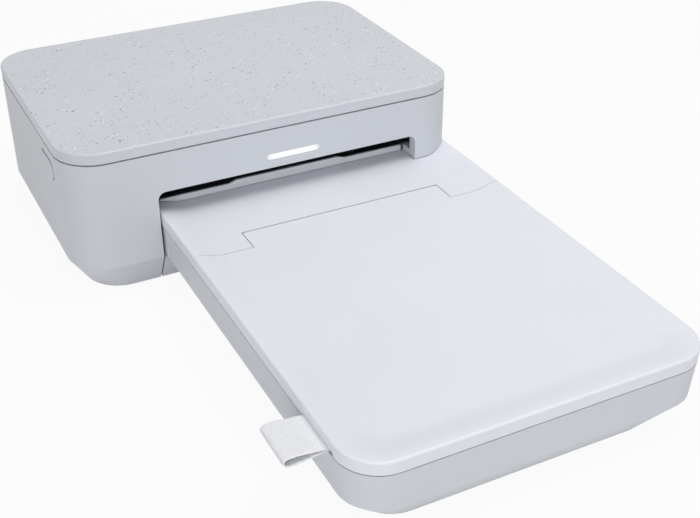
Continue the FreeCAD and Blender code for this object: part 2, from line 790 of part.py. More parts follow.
# Feed train: capstan gear, idler and motor pinion; and the ribbon pair
idler_direction = math.radians(-55.0)
pinion_direction = math.radians(-30.0)
ribbon_direction = math.radians(0.0)
idler_y = capstan_y + (pitch_of(capstan_teeth) + pitch_of(idler_teeth)) * math.cos(idler_direction)
idler_z = capstan_z + (pitch_of(capstan_teeth) + pitch_of(idler_teeth)) * math.sin(idler_direction)
pinion_y = idler_y + (pitch_of(idler_teeth) + pitch_of(pinion_teeth)) * math.cos(pinion_direction)
pinion_z = idler_z + (pitch_of(idler_teeth) + pitch_of(pinion_teeth)) * math.sin(pinion_direction)
ribbon_pinion_y = take_up_y + pitch_of(take_up_teeth) + pitch_of(pinion_teeth)
ribbon_pinion_z = take_up_z
idler_axle_radius = 1.5
motor_bore_gap = 0.05


def meshing_angle(driver_first, driver_teeth, direction, teeth):
    """First tooth angle of a gear that meshes with its driver across the given direction."""
    driver_step = math.pi * 2 / driver_teeth
    offset = (driver_first - direction) % driver_step
    turned = -offset * driver_teeth / teeth
    return direction + math.pi + turned + math.pi / teeth


def make_gears():
    x0 = gear_plane_x
    x1 = gear_plane_x + gear_wide
    hub_radius = 4.0
    capstan_first = idler_direction
    keep("capstan_gear", gear(capstan_y, capstan_z, capstan_teeth, x0, x1, capstan_first, capstan_shaft))
    idler_first = meshing_angle(capstan_first, capstan_teeth, idler_direction, idler_teeth)
    keep("idler_gear", gear(idler_y, idler_z, idler_teeth, x0, x1, idler_first, idler_axle_radius + running_gap))
    keep("idler_axle", rod_x(idler_y, idler_z, gearbox_x, left_plate_outer_x, idler_axle_radius))
    pinion_first = meshing_angle(idler_first, idler_teeth, pinion_direction, pinion_teeth)
    shaft_back = gearbox_x - gearbox_thick - motor_long / 3
    pinion = gear(pinion_y, pinion_z, pinion_teeth, x0, x1, pinion_first, 0)
    keep("feed_pinion", join([pinion, rod_x(pinion_y, pinion_z, shaft_back, x1, motor_shaft)]))
    take_up_first = ribbon_direction
    wheel = gear(take_up_y, take_up_z, take_up_teeth, x0, x1, take_up_first, 0)
    hub = rod_x(take_up_y, take_up_z, x1 - overrun, chassis_left_x, take_up_hub_radius)
    collar = rod_x(take_up_y, take_up_z, x1, left_plate_outer_x - part_gap, hub_radius)
    keep("take_up_gear", join([wheel, hub, collar]))
    ribbon_first = meshing_angle(take_up_first, take_up_teeth, ribbon_direction, pinion_teeth)
    pinion = gear(ribbon_pinion_y, ribbon_pinion_z, pinion_teeth, x0, x1, ribbon_first, 0)
    keep("ribbon_pinion", join([pinion, rod_x(ribbon_pinion_y, ribbon_pinion_z, shaft_back, x1, motor_shaft)]))


take_up_hub_radius = 2.5
gearbox_ahead = 9.0
gearbox_behind = 10.6
gearbox_front_y = capstan_y - gearbox_ahead
gearbox_rear_y = pinion_y + gearbox_behind
gearbox_low_z = 5.5
gearbox_top_drop = 2.4
gearbox_high_z = chassis_top_z - gearbox_top_drop
motor_long = gearbox_x - gearbox_thick - button_board_x - board_thick - motor_end_room
motor_plate_hole = 2.2
post_inset = 4.0


def gearbox_post_places():
    """(y, z) of the posts between the gearbox plate and the left chassis plate."""
    return [(gearbox_front_y + post_inset - overrun, gearbox_low_z + post_inset),
            (gearbox_rear_y - post_inset, gearbox_high_z - post_inset),
            (gearbox_rear_y - post_inset, gearbox_low_z + post_inset * 7)]


def motor(y, z, radius):
    face_x = gearbox_x - gearbox_thick
    body = rod_x(y, z, face_x - motor_long, face_x, radius)
    boss_radius = 2.0
    body = body.fuse(rod_x(y, z, face_x - overrun, face_x + gearbox_thick / 2, boss_radius))
    body = body.cut(rod_x(y, z, face_x - motor_long / 3 - overrun, gearbox_x, motor_shaft + motor_bore_gap))
    return body


def make_gearbox():
    plate = block(gearbox_x - gearbox_thick, gearbox_x, gearbox_front_y, gearbox_rear_y, gearbox_low_z,
                  gearbox_high_z)
    for y, z in ((pinion_y, pinion_z), (ribbon_pinion_y, ribbon_pinion_z)):
        plate = plate.cut(rod_x(y, z, gearbox_x - gearbox_thick - overrun, gearbox_x + overrun, motor_plate_hole))
    keep("gearbox_plate", plate)
    post_radius = 1.8
    keep("gearbox_posts", Part.makeCompound(
        [rod_x(y, z, gearbox_x, left_plate_outer_x, post_radius) for y, z in gearbox_post_places()]))
    keep("feed_motor", motor(pinion_y, pinion_z, feed_motor_radius))
    keep("ribbon_motor", motor(ribbon_pinion_y, ribbon_pinion_z, ribbon_motor_radius))


# Chassis

pivot_ahead = 13.0
pivot_y = supply_y - pivot_ahead
pivot_z = 52.0
pivot_radius = 1.5
tie_room = 5.0
tie_y = chassis_rear_y - tie_room
tie_z = 46.0
tie_radius = 2.5
guide_plate_thick = 1.4
guide_drop = 2.4
guide_low_z = paper_path_z - guide_drop
slot_clear = 2.6


def make_chassis():
    flange = 8.0
    left = block(left_plate_outer_x, chassis_left_x, chassis_front_y, chassis_rear_y, floor_top_z, chassis_top_z)
    left = left.fuse(block(chassis_left_x - overrun, chassis_left_x + flange, chassis_front_y + flange,
                           chassis_rear_y, floor_top_z, floor_top_z + chassis_thick))
    right = block(chassis_right_x, right_plate_outer_x, chassis_front_y, chassis_rear_y, floor_top_z, chassis_top_z)
    right = right.fuse(block(chassis_right_x - flange / 2, chassis_right_x + overrun, chassis_front_y + flange,
                             chassis_rear_y, floor_top_z, floor_top_z + chassis_thick))
    bush_capstan = capstan_shaft + bush_thick
    bush_platen = platen_shaft + bush_thick
    low_x = left_plate_outer_x - overrun
    high_x = right_plate_outer_x + overrun
    for y, z, radius in ((capstan_y, capstan_z, bush_capstan), (platen_y, platen_z, bush_platen),
                         (capstan_y, pinch_z, pinch_shaft + running_gap)):
        hole = rod_x(y, z, low_x, high_x, radius)
        left = left.cut(hole)
        right = right.cut(hole)
    left = left.cut(rod_x(take_up_y, take_up_z, low_x, chassis_left_x + overrun,
                          take_up_hub_radius + running_gap))
    window_gap = 0.8
    film_low_z = paper_path_z + part_gap / 2
    film_room = 5.2
    film_high_z = take_up_z - film_room
    right = right.cut(rod_x(take_up_y, take_up_z, chassis_right_x - overrun, high_x, take_up_house + window_gap))
    right = right.cut(rod_x(supply_y, supply_z, chassis_right_x - overrun, high_x, supply_house + window_gap))
    right = right.cut(block(chassis_right_x - overrun, high_x, capstan_y + overrun * 3, supply_y - overrun * 4,
                            film_low_z, film_high_z))
    keep("chassis_left_plate", left.removeSplitter())
    keep("chassis_right_plate", right.removeSplitter())

    bushes = []
    for y, z, shaft in ((capstan_y, capstan_z, capstan_shaft), (platen_y, platen_z, platen_shaft)):
        for x0 in (left_plate_outer_x, chassis_right_x):
            bushes.append(tube_x(y, z, x0, x0 + chassis_thick, shaft + bush_thick, shaft + running_gap))
    keep("roller_bushes", Part.makeCompound(bushes))
    keep("rear_tie_bar", rod_x(tie_y, tie_z, chassis_left_x, chassis_right_x, tie_radius))
    keep("head_pivot_shaft", rod_x(pivot_y, pivot_z, chassis_left_x, chassis_right_x, pivot_radius))

    guide_front_y = capstan_y + capstan_radius + overrun
    guide_mid_y = platen_y - platen_radius - overrun
    side = 7.0
    front = block(chassis_left_x, chassis_right_x, guide_front_y, guide_mid_y, guide_low_z,
                  guide_low_z + guide_plate_thick)
    for x in (chassis_left_x, chassis_right_x - guide_plate_thick):
        front = front.fuse(block(x, x + guide_plate_thick, guide_front_y, guide_mid_y, guide_low_z - side,
                                 guide_low_z + guide_plate_thick))
    keep("front_paper_guide", front.removeSplitter())
    rear_y0 = platen_y + platen_radius + overrun
    rear = block(chassis_left_x, chassis_right_x, rear_y0, chassis_rear_y, guide_low_z, guide_low_z + guide_plate_thick)
    rear = rear.fuse(block(paper_left_x, paper_right_x, rear_y0, inner_rear_y - slot_clear, guide_low_z,
                           guide_low_z + guide_plate_thick))
    rib_wide = 1.2
    rib_high = 3.0
    rib_count = 6
    for index in range(rib_count):
        x = paper_left_x + (paper_right_x - paper_left_x - rib_wide) * index / (rib_count - 1)
        rear = rear.fuse(block(x, x + rib_wide, rear_y0, chassis_rear_y, guide_low_z - rib_high, guide_low_z))
    keep("rear_paper_guide", rear.removeSplitter())


# Rollers

pickup_wide = 36.0
pickup_left_x = paper_middle_x - pickup_wide / 2
pickup_right_x = pickup_left_x + pickup_wide
pulley_wide = 3.0
pulley_x = pickup_right_x + pulley_wide * 2
arm_gap = 1.4
arm_thick = 2.0
arm_left_x = pickup_left_x - arm_thick - arm_gap


def make_rollers():
    end_x = right_plate_outer_x + overrun
    gap = 2.0
    sleeve_left = (paper_left_x + part_gap, pulley_x - gap)
    sleeve_right = (pulley_x + pulley_wide + gap, paper_right_x - part_gap)
    shaft = rod_x(capstan_y, capstan_z, gear_plane_x, end_x, capstan_shaft)
    sleeves = [rod_x(capstan_y, capstan_z, x0, x1, capstan_radius) for x0, x1 in (sleeve_left, sleeve_right)]
    pulley = rod_x(capstan_y, capstan_z, pulley_x, pulley_x + pulley_wide, pulley_radius)
    keep("capstan_roller", join([shaft, pulley] + sleeves))
    keep("pinch_roller", join([rod_x(capstan_y, pinch_z, left_plate_outer_x, right_plate_outer_x, pinch_shaft),
                               rod_x(capstan_y, pinch_z, sleeve_left[0], sleeve_right[1], pinch_radius)]))
    keep("platen_roller", join([rod_x(platen_y, platen_z, left_plate_outer_x - overrun, end_x, platen_shaft),
                                rod_x(platen_y, platen_z, paper_left_x - gap, paper_right_x - part_gap,
                                      platen_radius)]))
    pickup_end = pulley_x + pulley_wide
    keep("pickup_roller", join([
        rod_x(pickup_y, pickup_z, arm_left_x, pickup_end, pickup_shaft),
        rod_x(pickup_y, pickup_z, pickup_left_x, pickup_right_x, pickup_radius),
        rod_x(pickup_y, pickup_z, pulley_x, pickup_end, pulley_radius)]))
    outer = pulley_radius + running_gap + belt_thick
    inner = pulley_radius + running_gap
    edge_gap = 0.4
    x0 = pulley_x + edge_gap
    x1 = pulley_x + pulley_wide - edge_gap

    def loop(radius, low_x, high_x):
        low_z = min(pickup_z, capstan_z) - radius
        high_z = max(pickup_z, capstan_z) + radius
        return join([rod_x(pickup_y, pickup_z, low_x, high_x, radius),
                     rod_x(capstan_y, capstan_z, low_x, high_x, radius),
                     block(low_x, high_x, pickup_y, capstan_y, low_z, high_z)])

    keep("pickup_belt", loop(outer, x0, x1).cut(loop(inner, x0 - overrun, x1 + overrun)))


# Exit lip in the mouth, with the bar behind it that carries the pickup arm

lip_left_room = 3.7
lip_right_room = 1.4
lip_left_x = mouth_left_x + lip_left_room
lip_right_x = mouth_right_x - lip_right_room
lip_front_y = 10.7
lip_top_z = 36.2
lip_crown_z = 37.3
crown_wide = 48.5
crown_left_room = 38.2
crown_left_x = mouth_left_x + crown_left_room
crown_right_x = crown_left_x + crown_wide
crown_ramp = 3.5
lip_bar_deep = 2.6
lip_face_thick = 0.9
lip_under_z = 33.0
bar_deep = 3.4
bar_front_y = chassis_front_y - bar_deep
window_side = 3.0
window_left_x = arm_left_x - window_side
window_right_x = pulley_x + pulley_wide + window_side


def crown(x0, x1, y0, y1):
    """The lip's raised centre, ramped down at both ends."""
    points = [Vec(x0 - crown_ramp, y0, lip_top_z), Vec(x0, y0, lip_crown_z), Vec(x1, y0, lip_crown_z),
              Vec(x1 + crown_ramp, y0, lip_top_z), Vec(x0 - crown_ramp, y0, lip_top_z)]
    return Part.Face(Part.makePolygon(points)).extrude(Vec(0, y1 - y0, 0))


def make_lip():
    lip = block(lip_left_x, lip_right_x, lip_front_y, bar_front_y, lip_under_z, lip_top_z)
    window = block(window_left_x, window_right_x, lip_front_y + lip_bar_deep, bar_front_y + overrun,
                   -overrun, body_height)
    under = prism(outline(tray_left_x - overrun, tray_right_x + overrun, -overrun, bar_front_y, 0, 0, 0),
                  rim_z + part_gap).cut(dish_tool(part_gap, bar_front_y + overrun))
    lip = lip.cut(under)
    lip = lip.fuse(crown(crown_left_x, crown_right_x, lip_front_y, lip_front_y + lip_bar_deep))
    lip = lip.cut(window)
    bar = block(left_plate_outer_x, right_plate_outer_x, bar_front_y, chassis_front_y, lip_under_z, lip_top_z)
    notch = 0.6
    bar = bar.cut(block(pulley_x - notch, pulley_x + pulley_wide + notch, bar_front_y - overrun,
                        chassis_front_y + overrun, -overrun, body_height))
    bridge_high = 1.2
    low_bridge_z = min(pickup_z, capstan_z) - pulley_radius - running_gap - belt_thick - part_gap
    bridge = block(pulley_x - notch - overrun, pulley_x + pulley_wide + notch + overrun, bar_front_y, chassis_front_y,
                   low_bridge_z - bridge_high, low_bridge_z)
    cheeks = [block(x, x + overrun, bar_front_y, chassis_front_y, low_bridge_z - bridge_high, lip_top_z)
              for x in (pulley_x - notch - overrun, pulley_x + pulley_wide + notch)]
    whole = join([lip, bar, bridge] + cheeks)
    trim = block(lip_left_x - overrun, lip_right_x + overrun, lip_front_y - overrun, lip_front_y + lip_face_thick,
                 -overrun, body_height)
    keep("exit_lip", whole.common(trim))
    keep("exit_guide", whole.cut(trim))

    arm_front_y = pickup_y - pickup_shaft * 2
    web_front_y = pickup_y + pickup_radius + overrun
    arm_low_z = pickup_z - pickup_shaft * 2
    arm_right_x = pickup_right_x + part_gap * 3
    pieces = [block(arm_left_x, arm_right_x + arm_thick, web_front_y, bar_front_y, arm_low_z + overrun * 2,
                    lip_top_z)]
    for x in (arm_left_x, arm_right_x):
        pieces.append(block(x, x + arm_thick, arm_front_y, bar_front_y, arm_low_z, lip_top_z))
    arm = join(pieces)
    arm = arm.cut(rod_x(pickup_y, pickup_z, arm_left_x - overrun, arm_right_x + arm_thick + overrun,
                        pickup_shaft + running_gap))
    keep("pickup_arm", arm)


# Print head: ceramic bar, heat sink and the arm that lifts them off the platen

def make_head():
    head_side = 2.0
    head_left_x = paper_left_x - head_side
    head_right_x = paper_right_x
    bar_low_z = paper_path_z + film_thick + part_gap
    bar_high = 2.6
    bar_wide = 8.0
    sink_ahead = 8.0
    sink_behind = 9.0
    sink_front_y = platen_y - sink_ahead
    sink_rear_y = platen_y + sink_behind
    sink_base = 3.0
    fin_high = 10.0
    fin_thick = 1.2
    fin_count = 5
    arm_thick_z = 1.6
    arm_behind = 4.0
    arm_reach_y = pivot_y + arm_behind
    ear_thick = 1.6
    keep("thermal_head", block(head_left_x, head_right_x, platen_y - bar_wide / 2, platen_y + bar_wide / 2,
                               bar_low_z, bar_low_z + bar_high))
    sink_z = bar_low_z + bar_high
    sink = block(head_left_x, head_right_x, sink_front_y, sink_rear_y, sink_z, sink_z + sink_base)
    for index in range(fin_count):
        y = sink_front_y + (sink_rear_y - sink_front_y - fin_thick) * index / (fin_count - 1)
        sink = sink.fuse(block(head_left_x, head_right_x, y, y + fin_thick, sink_z, sink_z + sink_base + fin_high))
    keep("heat_sink", sink.removeSplitter())
    arm_z = sink_z + sink_base + fin_high
    arm = block(head_left_x - ear_thick, head_right_x + ear_thick, sink_front_y, arm_reach_y, arm_z,
                arm_z + arm_thick_z)
    for x in (head_left_x - ear_thick, head_right_x):
        arm = arm.fuse(block(x, x + ear_thick, pivot_y - overrun * 4, arm_reach_y, pivot_z - overrun * 3,
                             arm_z + arm_thick_z))
    arm = arm.cut(rod_x(pivot_y, pivot_z, head_left_x - wall, head_right_x + wall, pivot_radius + running_gap))
    keep("head_arm", arm.removeSplitter())


# Ribbon cartridge

cart_gap = 0.3
cart_right_reach = 6.0
cart_left_x = chassis_left_x + cart_gap
cart_right_x = chassis_right_x + cart_right_reach
cart_plate = 1.6
cart_cap = 2.0


def make_cartridge():
    spool_x0 = cart_left_x + cart_plate + part_gap
    spool_x1 = cart_right_x - cart_cap - part_gap
    shapes = []
    for y, z, house, side in ((take_up_y, take_up_z, take_up_house, 1), (supply_y, supply_z, supply_house, -1)):
        trough = tube_x(y, z, cart_left_x, cart_right_x, house, house - house_wall)
        y0, y1 = sorted((y + side * overrun, y + side * house * 2))
        trough = trough.cut(block(cart_left_x + cart_plate, cart_right_x - cart_cap, y0, y1, z - house * 2,
                                  z - overrun * 2))
        disc = rod_x(y, z, cart_left_x, cart_left_x + cart_plate, house)
        cap = rod_x(y, z, cart_right_x - cart_cap, cart_right_x, house)
        shapes.extend([trough, disc, cap])
    side_low_z = supply_z - house_wall
    side_high_z = supply_z + supply_house - house_wall * 2
    end_x = cart_right_x - cart_cap
    grip_wide = 14.0
    shapes.append(block(end_x, cart_right_x, take_up_y, supply_y, side_low_z - overrun * 5, side_high_z))
    shapes.append(block(end_x, cart_right_x + cart_cap * 2, platen_y, platen_y + grip_wide, side_low_z, side_high_z))
    frame = join(shapes)
    for y, z in ((take_up_y, take_up_z), (supply_y, supply_z)):
        frame = frame.cut(rod_x(y, z, cart_left_x - overrun, cart_left_x + cart_plate + overrun,
                                spool_stub + running_gap))
        frame = frame.cut(rod_x(y, z, cart_right_x - cart_cap - overrun, cart_right_x - cart_cap / 2,
                                spool_stub + running_gap))
    keep("ribbon_cartridge", frame.removeSplitter())
    for name, y, z, wound in (("take_up_spool", take_up_y, take_up_z, take_up_wound),
                              ("supply_spool", supply_y, supply_z, supply_wound)):
        core = rod_x(y, z, cart_left_x, spool_x1 + part_gap + cart_cap / 2 - running_gap * 2, spool_stub)
        roll = rod_x(y, z, paper_left_x, paper_right_x, wound)
        tube = rod_x(y, z, spool_x0, spool_x1, spool_stub + overrun)
        keep(name, join([core, tube, roll]))
    low = paper_path_z + part_gap / 2
    film_flat = 7.0
    film_drop = 0.4
    path = [(supply_y, supply_z - supply_wound - film_drop), (platen_y + film_flat, low), (platen_y - film_flat, low),
            (take_up_y, take_up_z - take_up_wound - film_drop)]
    lower = [Vec(paper_left_x, y, z - film_thick) for y, z in path]
    upper = [Vec(paper_left_x, y, z) for y, z in path]
    ring = lower + upper[::-1] + [lower[0]]
    film = Part.Face(Part.makePolygon(ring)).extrude(Vec(paper_right_x - paper_left_x, 0, 0))
    film.translate(Vec(0, 0, film_thick))
    keep("ribbon_film", film)


# Paper tray

tub_floor_z = foot_proud + floor_thick
insert_floor_z = insert_low_z + tub_wall
plate_low_z = insert_floor_z + plate_play
joint_y = -part_gap * 2
peg_bite = 5.0
peg_stand = 0.3
tray_screw_bite = 2.4


def tray_wire(z, inset, corner, rear_y):
    return outline(tray_left_x + inset, tray_right_x - inset, inset - tray_reach, rear_y, z, corner, 0)


def tub_wire(z, inset, corner):
    return outline(tray_left_x + inset, tray_right_x - inset, inset - tray_reach, run_on - inset, z, corner, corner)


def tub_solid(z0, z1, wall_in, rear_y):
    """The tub's tapered outside, or its hollow with wall_in, from z0 to z1."""
    low_share = (tub_bevel_z - z0) / (tub_bevel_z - foot_proud)
    low_inset = tub_draft + (tub_bevel_inset - tub_draft) * low_share + wall_in
    low = tub_wire(z0, low_inset, tub_bevel_corner - wall_in)
    middle = tub_wire(tub_bevel_z, tub_draft + wall_in, tray_corner - tub_draft - wall_in)
    high = tub_wire(z1, wall_in, tray_corner - wall_in)
    whole = join([loft([low, middle]), loft([middle, high])])
    return whole.cut(block(tray_left_x - overrun, tray_right_x + overrun, rear_y, run_on + overrun, -overrun,
                           body_height))


def peg_places():
    """(x, y, floor height) of the four screws that hold the tray's rear cover to the tub."""
    from_side = 7.5
    rear_y = 9.0
    front_y = -18.0
    return [(x, y, z) for x in (tray_left_x + from_side, tray_right_x - from_side)
            for y, z in ((rear_y, insert_low_z), (front_y, foot_proud))]


def make_tub():
    outside = tub_solid(foot_proud, tub_top_z, 0, joint_y)
    insert = block(insert_left_x, insert_right_x, joint_y - overrun, tray_insert, insert_low_z, tub_top_z)
    outside = join([outside, insert])
    tub = outside
    tub = tub.cut(tub_solid(tub_floor_z, tub_top_z, tub_wall, joint_y - tub_wall))
    tub = tub.cut(block(tray_left_x + tub_wall, tray_right_x - tub_wall, -body_depth, joint_y - tub_wall,
                        tub_top_z - overrun, tub_top_z + overrun))
    tub = tub.cut(block(insert_left_x + tub_wall, insert_right_x - tub_wall, joint_y - tub_wall - overrun,
                        tray_insert - tub_wall, insert_floor_z, tub_top_z + overrun))
    tub = tub.cut(block(paper_left_x, paper_right_x, tray_insert - tub_wall - overrun, tray_insert + overrun,
                        rear_sill_z, tub_top_z + overrun))
    low_z = foot_proud + floor_thick / 2
    high_low_z = insert_low_z + tub_wall / 2
    adds = []
    for x in (paper_left_x - guide_thick, paper_right_x):
        adds.append(block(x, x + guide_thick, paper_front_y - guide_thick, joint_y, low_z, guide_top_z))
        adds.append(block(x, x + guide_thick, joint_y - overrun, tray_insert - tub_wall / 2, high_low_z, guide_top_z))
    adds.append(block(paper_left_x, paper_right_x, paper_front_y - guide_thick, paper_front_y, low_z, guide_top_z))
    rib_count = 5
    rib_end = 6.0
    for index in range(rib_count):
        x = paper_left_x + (paper_right_x - paper_left_x) * (index + 1) / (rib_count + 1)
        adds.append(block(x, x + guide_thick, paper_front_y - overrun / 2, plate_pivot_y - rib_end, low_z,
                          plate_low_z + plate_thick))
    boss_radius = 4.2
    for x, y, z in peg_places():
        adds.append(rod_z(x, y, z + tub_wall / 2, tub_top_z, boss_radius).common(outside))
    tub = join([tub] + adds)
    for x in (paper_left_x - guide_thick, paper_right_x):
        tub = tub.cut(rod_x(plate_pivot_y, plate_pivot_z, x - overrun, x + guide_thick + overrun,
                            plate_pivot_radius + running_gap))
    for x, y, z in peg_places():
        tub = tub.cut(rod_z(x, y, -overrun, tub_top_z - peg_bite, screw_head_radius + fit_gap))
        tub = tub.cut(rod_z(x, y, -overrun, tub_top_z + overrun, screw_radius + fit_gap))
    for x, y in tray_foot_places():
        tub = tub.cut(rod_z(x, y, -overrun, foot_proud + foot_seat, foot_radius))
    keep("tray_base", tub.removeSplitter())
    keep("tray_feet", Part.makeCompound(
        [rod_z(x, y, 0, foot_proud + foot_seat, foot_radius) for x, y in tray_foot_places()]))
    keep("tray_screws", Part.makeCompound(
        [screw_up(x, y, tub_top_z - peg_bite, peg_bite + tray_screw_bite - fit_gap) for x, y, z in peg_places()]))


def hinge_zone(radius, x0, x1, corner):
    """Plan shape that ends behind the hinge line in a cylinder about that line."""
    plan = prism(outline(x0, x1, hinge_y - wing_radius * 2, hinge_y + radius, 0, 0, corner), body_height)
    ahead = block(x0, x1, hinge_y - wing_radius * 2, hinge_y, 0, body_height)
    return plan.common(ahead.fuse(rod_x(hinge_y, hinge_z, x0, x1, radius)))


def lug_places():
    """(x0, x1) of the rear cover's two hinge lugs."""
    from_end = 12.0
    return [(tab_left_x + from_end, tab_left_x + from_end + knuckle_long),
            (tab_right_x - from_end - knuckle_long, tab_right_x - from_end)]


def tray_top_solid():
    top = prism(tray_wire(seam_z, 0, tray_corner, cover_rear_y), rim_z - seam_z)
    edges = []
    for edge in top.Edges:
        box = edge.BoundBox
        if box.ZMin > rim_z - overrun and box.YMin < cover_rear_y - overrun:
            edges.append(edge)
    top = top.makeFillet(top_edge_round, edges)
    top = top.cut(dish_tool(0, tray_insert + overrun))
    under = top.copy()
    under.translate(Vec(0, 0, -lid_thick))
    room = prism(tray_wire(seam_z - lid_thick * 2, lid_skirt, tray_corner - lid_skirt, tray_insert + overrun),
                 body_height)
    return top.cut(under.common(room)).cut(
        prism(tray_wire(seam_z - overrun, lid_skirt, tray_corner - lid_skirt, tray_insert + overrun),
              overrun + rim_z - seam_z - dish_depth - lid_thick))


def make_tray_covers():
    top = tray_top_solid()
    tab_radius = math.hypot(tab_back, dish_z - hinge_z)
    half_seam = part_gap / 2
    far = tray_reach + overrun
    low_z = seam_z - overrun
    ahead = block(tray_left_x - overrun, tray_right_x + overrun, -far, hinge_y, low_z, rim_z + overrun)
    behind = block(tray_left_x - overrun, tray_right_x + overrun, hinge_y, tray_insert + overrun, low_z,
                   rim_z + overrun)
    lid_round = rod_x(hinge_y, hinge_z, tray_left_x - overrun, tray_right_x + overrun, wing_radius + half_seam)
    cover_round = rod_x(hinge_y, hinge_z, tray_left_x - overrun, tray_right_x + overrun, wing_radius - half_seam)
    lid_zone = ahead.cut(lid_round).fuse(hinge_zone(tab_radius, tab_left_x, tab_right_x, tab_corner))
    cover_zone = behind.fuse(cover_round.common(ahead))
    cover_zone = cover_zone.cut(hinge_zone(tab_radius + hinge_gap, tab_left_x - part_gap, tab_right_x + part_gap,
                                           tab_corner - part_gap * 2))
    lid = top.common(lid_zone)
    cover = top.common(cover_zone)

    knuckles = []
    for x in (tab_left_x + overrun * 2, tab_right_x - overrun * 2 - knuckle_long):
        knuckles.append(rod_x(hinge_y, hinge_z, x, x + knuckle_long, knuckle_radius))
    pad_x0 = tray_left_x + lid_skirt - overrun
    pad_long = 7.0
    tag_top_z = seam_z + tag_lift + tag_thick * 2 + tag_split
    pad = block(pad_x0, pad_x0 + pad_long, tag_front_y, tag_front_y + tag_wide, tag_top_z, dish_z)
    lid = join([lid, pad] + knuckles)
    relief = 0.35
    for x0, x1 in lug_places():
        lid = lid.cut(rod_x(hinge_y, hinge_z, x0 - part_gap, x1 + part_gap, lug_radius + relief))
    pin_x0 = tab_left_x + overrun
    pin_x1 = tab_right_x - overrun
    lid = lid.cut(rod_x(hinge_y, hinge_z, pin_x0 - overrun * 2, pin_x1 + overrun * 2, lid_pin_radius + running_gap))
    notch_front = 2.6
    side_gap = 0.5
    lid = lid.cut(block(tray_left_x - overrun, tray_left_x + lid_skirt + overrun, tag_front_y - notch_front,
                        tag_front_y + tag_wide + side_gap, seam_z - overrun, tag_top_z))
    keep("tray_lid", lid.removeSplitter())
    keep("lid_hinge_pin", rod_x(hinge_y, hinge_z, pin_x0, pin_x1, lid_pin_radius))

    rear_y = tab_radius + hinge_gap + fit_gap
    lugs = []
    for x0, x1 in lug_places():
        foot_z = hinge_z - lug_drop - lug_arm
        lug = join([
            rod_x(hinge_y, hinge_z, x0, x1, lug_radius),
            block(x0, x1, hinge_y - lug_radius, hinge_y, foot_z, hinge_z),
            block(x0, x1, hinge_y - lug_radius, hinge_y + rear_y + lug_arm, foot_z, foot_z + lug_arm),
            block(x0, x1, hinge_y + rear_y, hinge_y + rear_y + lug_arm, foot_z, dish_z - lid_thick / 2)])
        lugs.append(lug.cut(rod_x(hinge_y, hinge_z, x0 - overrun, x1 + overrun, lid_pin_radius)))
    pegs = []
    peg_radius = 2.8
    peg_top_z = dish_z + peg_stand
    for x, y, z in peg_places():
        pegs.append(rod_z(x, y, tub_top_z, peg_top_z, peg_radius))
    cover = join([cover] + lugs + pegs)
    for x, y, z in peg_places():
        cover = cover.cut(rod_z(x, y, tub_top_z - overrun, tub_top_z + tray_screw_bite, screw_radius))
    keep("tray_rear_cover", cover)


# Pull tag: one strip folded back on itself, its two ends clamped under the lid
tag_front_inset = 18.4
tag_front_y = tag_front_inset - tray_reach
tag_wide = 18.6
tag_thick = 0.6
tag_split = 0.1
tag_lift = 0.05
tag_reach = 15.5
tag_out_x = tray_left_x - tag_reach
tag_round = 1.9
tag_hold = 4.0


def make_tag():
    y = tag_front_y
    inner_x0 = tray_left_x + lid_skirt + tag_hold
    bend_x = tag_out_x + tag_round
    low_z = seam_z + tag_lift
    high_z = low_z + tag_thick * 2 + tag_split
    middle_z = (low_z + high_z) / 2
    outer = [Part.makeLine(Vec(inner_x0, y, low_z), Vec(tray_left_x, y, low_z)),
             Part.makeLine(Vec(tray_left_x, y, low_z), Vec(bend_x, y, middle_z - tag_round)),
             Part.Arc(Vec(bend_x, y, middle_z - tag_round), Vec(tag_out_x, y, middle_z),
                      Vec(bend_x, y, middle_z + tag_round)).toShape(),
             Part.makeLine(Vec(bend_x, y, middle_z + tag_round), Vec(tray_left_x, y, high_z)),
             Part.makeLine(Vec(tray_left_x, y, high_z), Vec(inner_x0, y, high_z)),
             Part.makeLine(Vec(inner_x0, y, high_z), Vec(inner_x0, y, low_z))]
    inner_round = tag_round - tag_thick
    start_x = tray_left_x - tag_thick
    inner = [Part.makeLine(Vec(start_x, y, middle_z - tag_split / 2), Vec(bend_x, y, middle_z - inner_round)),
             Part.Arc(Vec(bend_x, y, middle_z - inner_round), Vec(tag_out_x + tag_thick, y, middle_z),
                      Vec(bend_x, y, middle_z + inner_round)).toShape(),
             Part.makeLine(Vec(bend_x, y, middle_z + inner_round), Vec(start_x, y, middle_z + tag_split / 2)),
             Part.makeLine(Vec(start_x, y, middle_z + tag_split / 2), Vec(start_x, y, middle_z - tag_split / 2))]
    band = Part.Face(Part.Wire(outer)).extrude(Vec(0, tag_wide, 0))
    hollow = Part.Face(Part.Wire(inner)).extrude(Vec(0, tag_wide, 0))
    keep("pull_tag", band.cut(hollow))


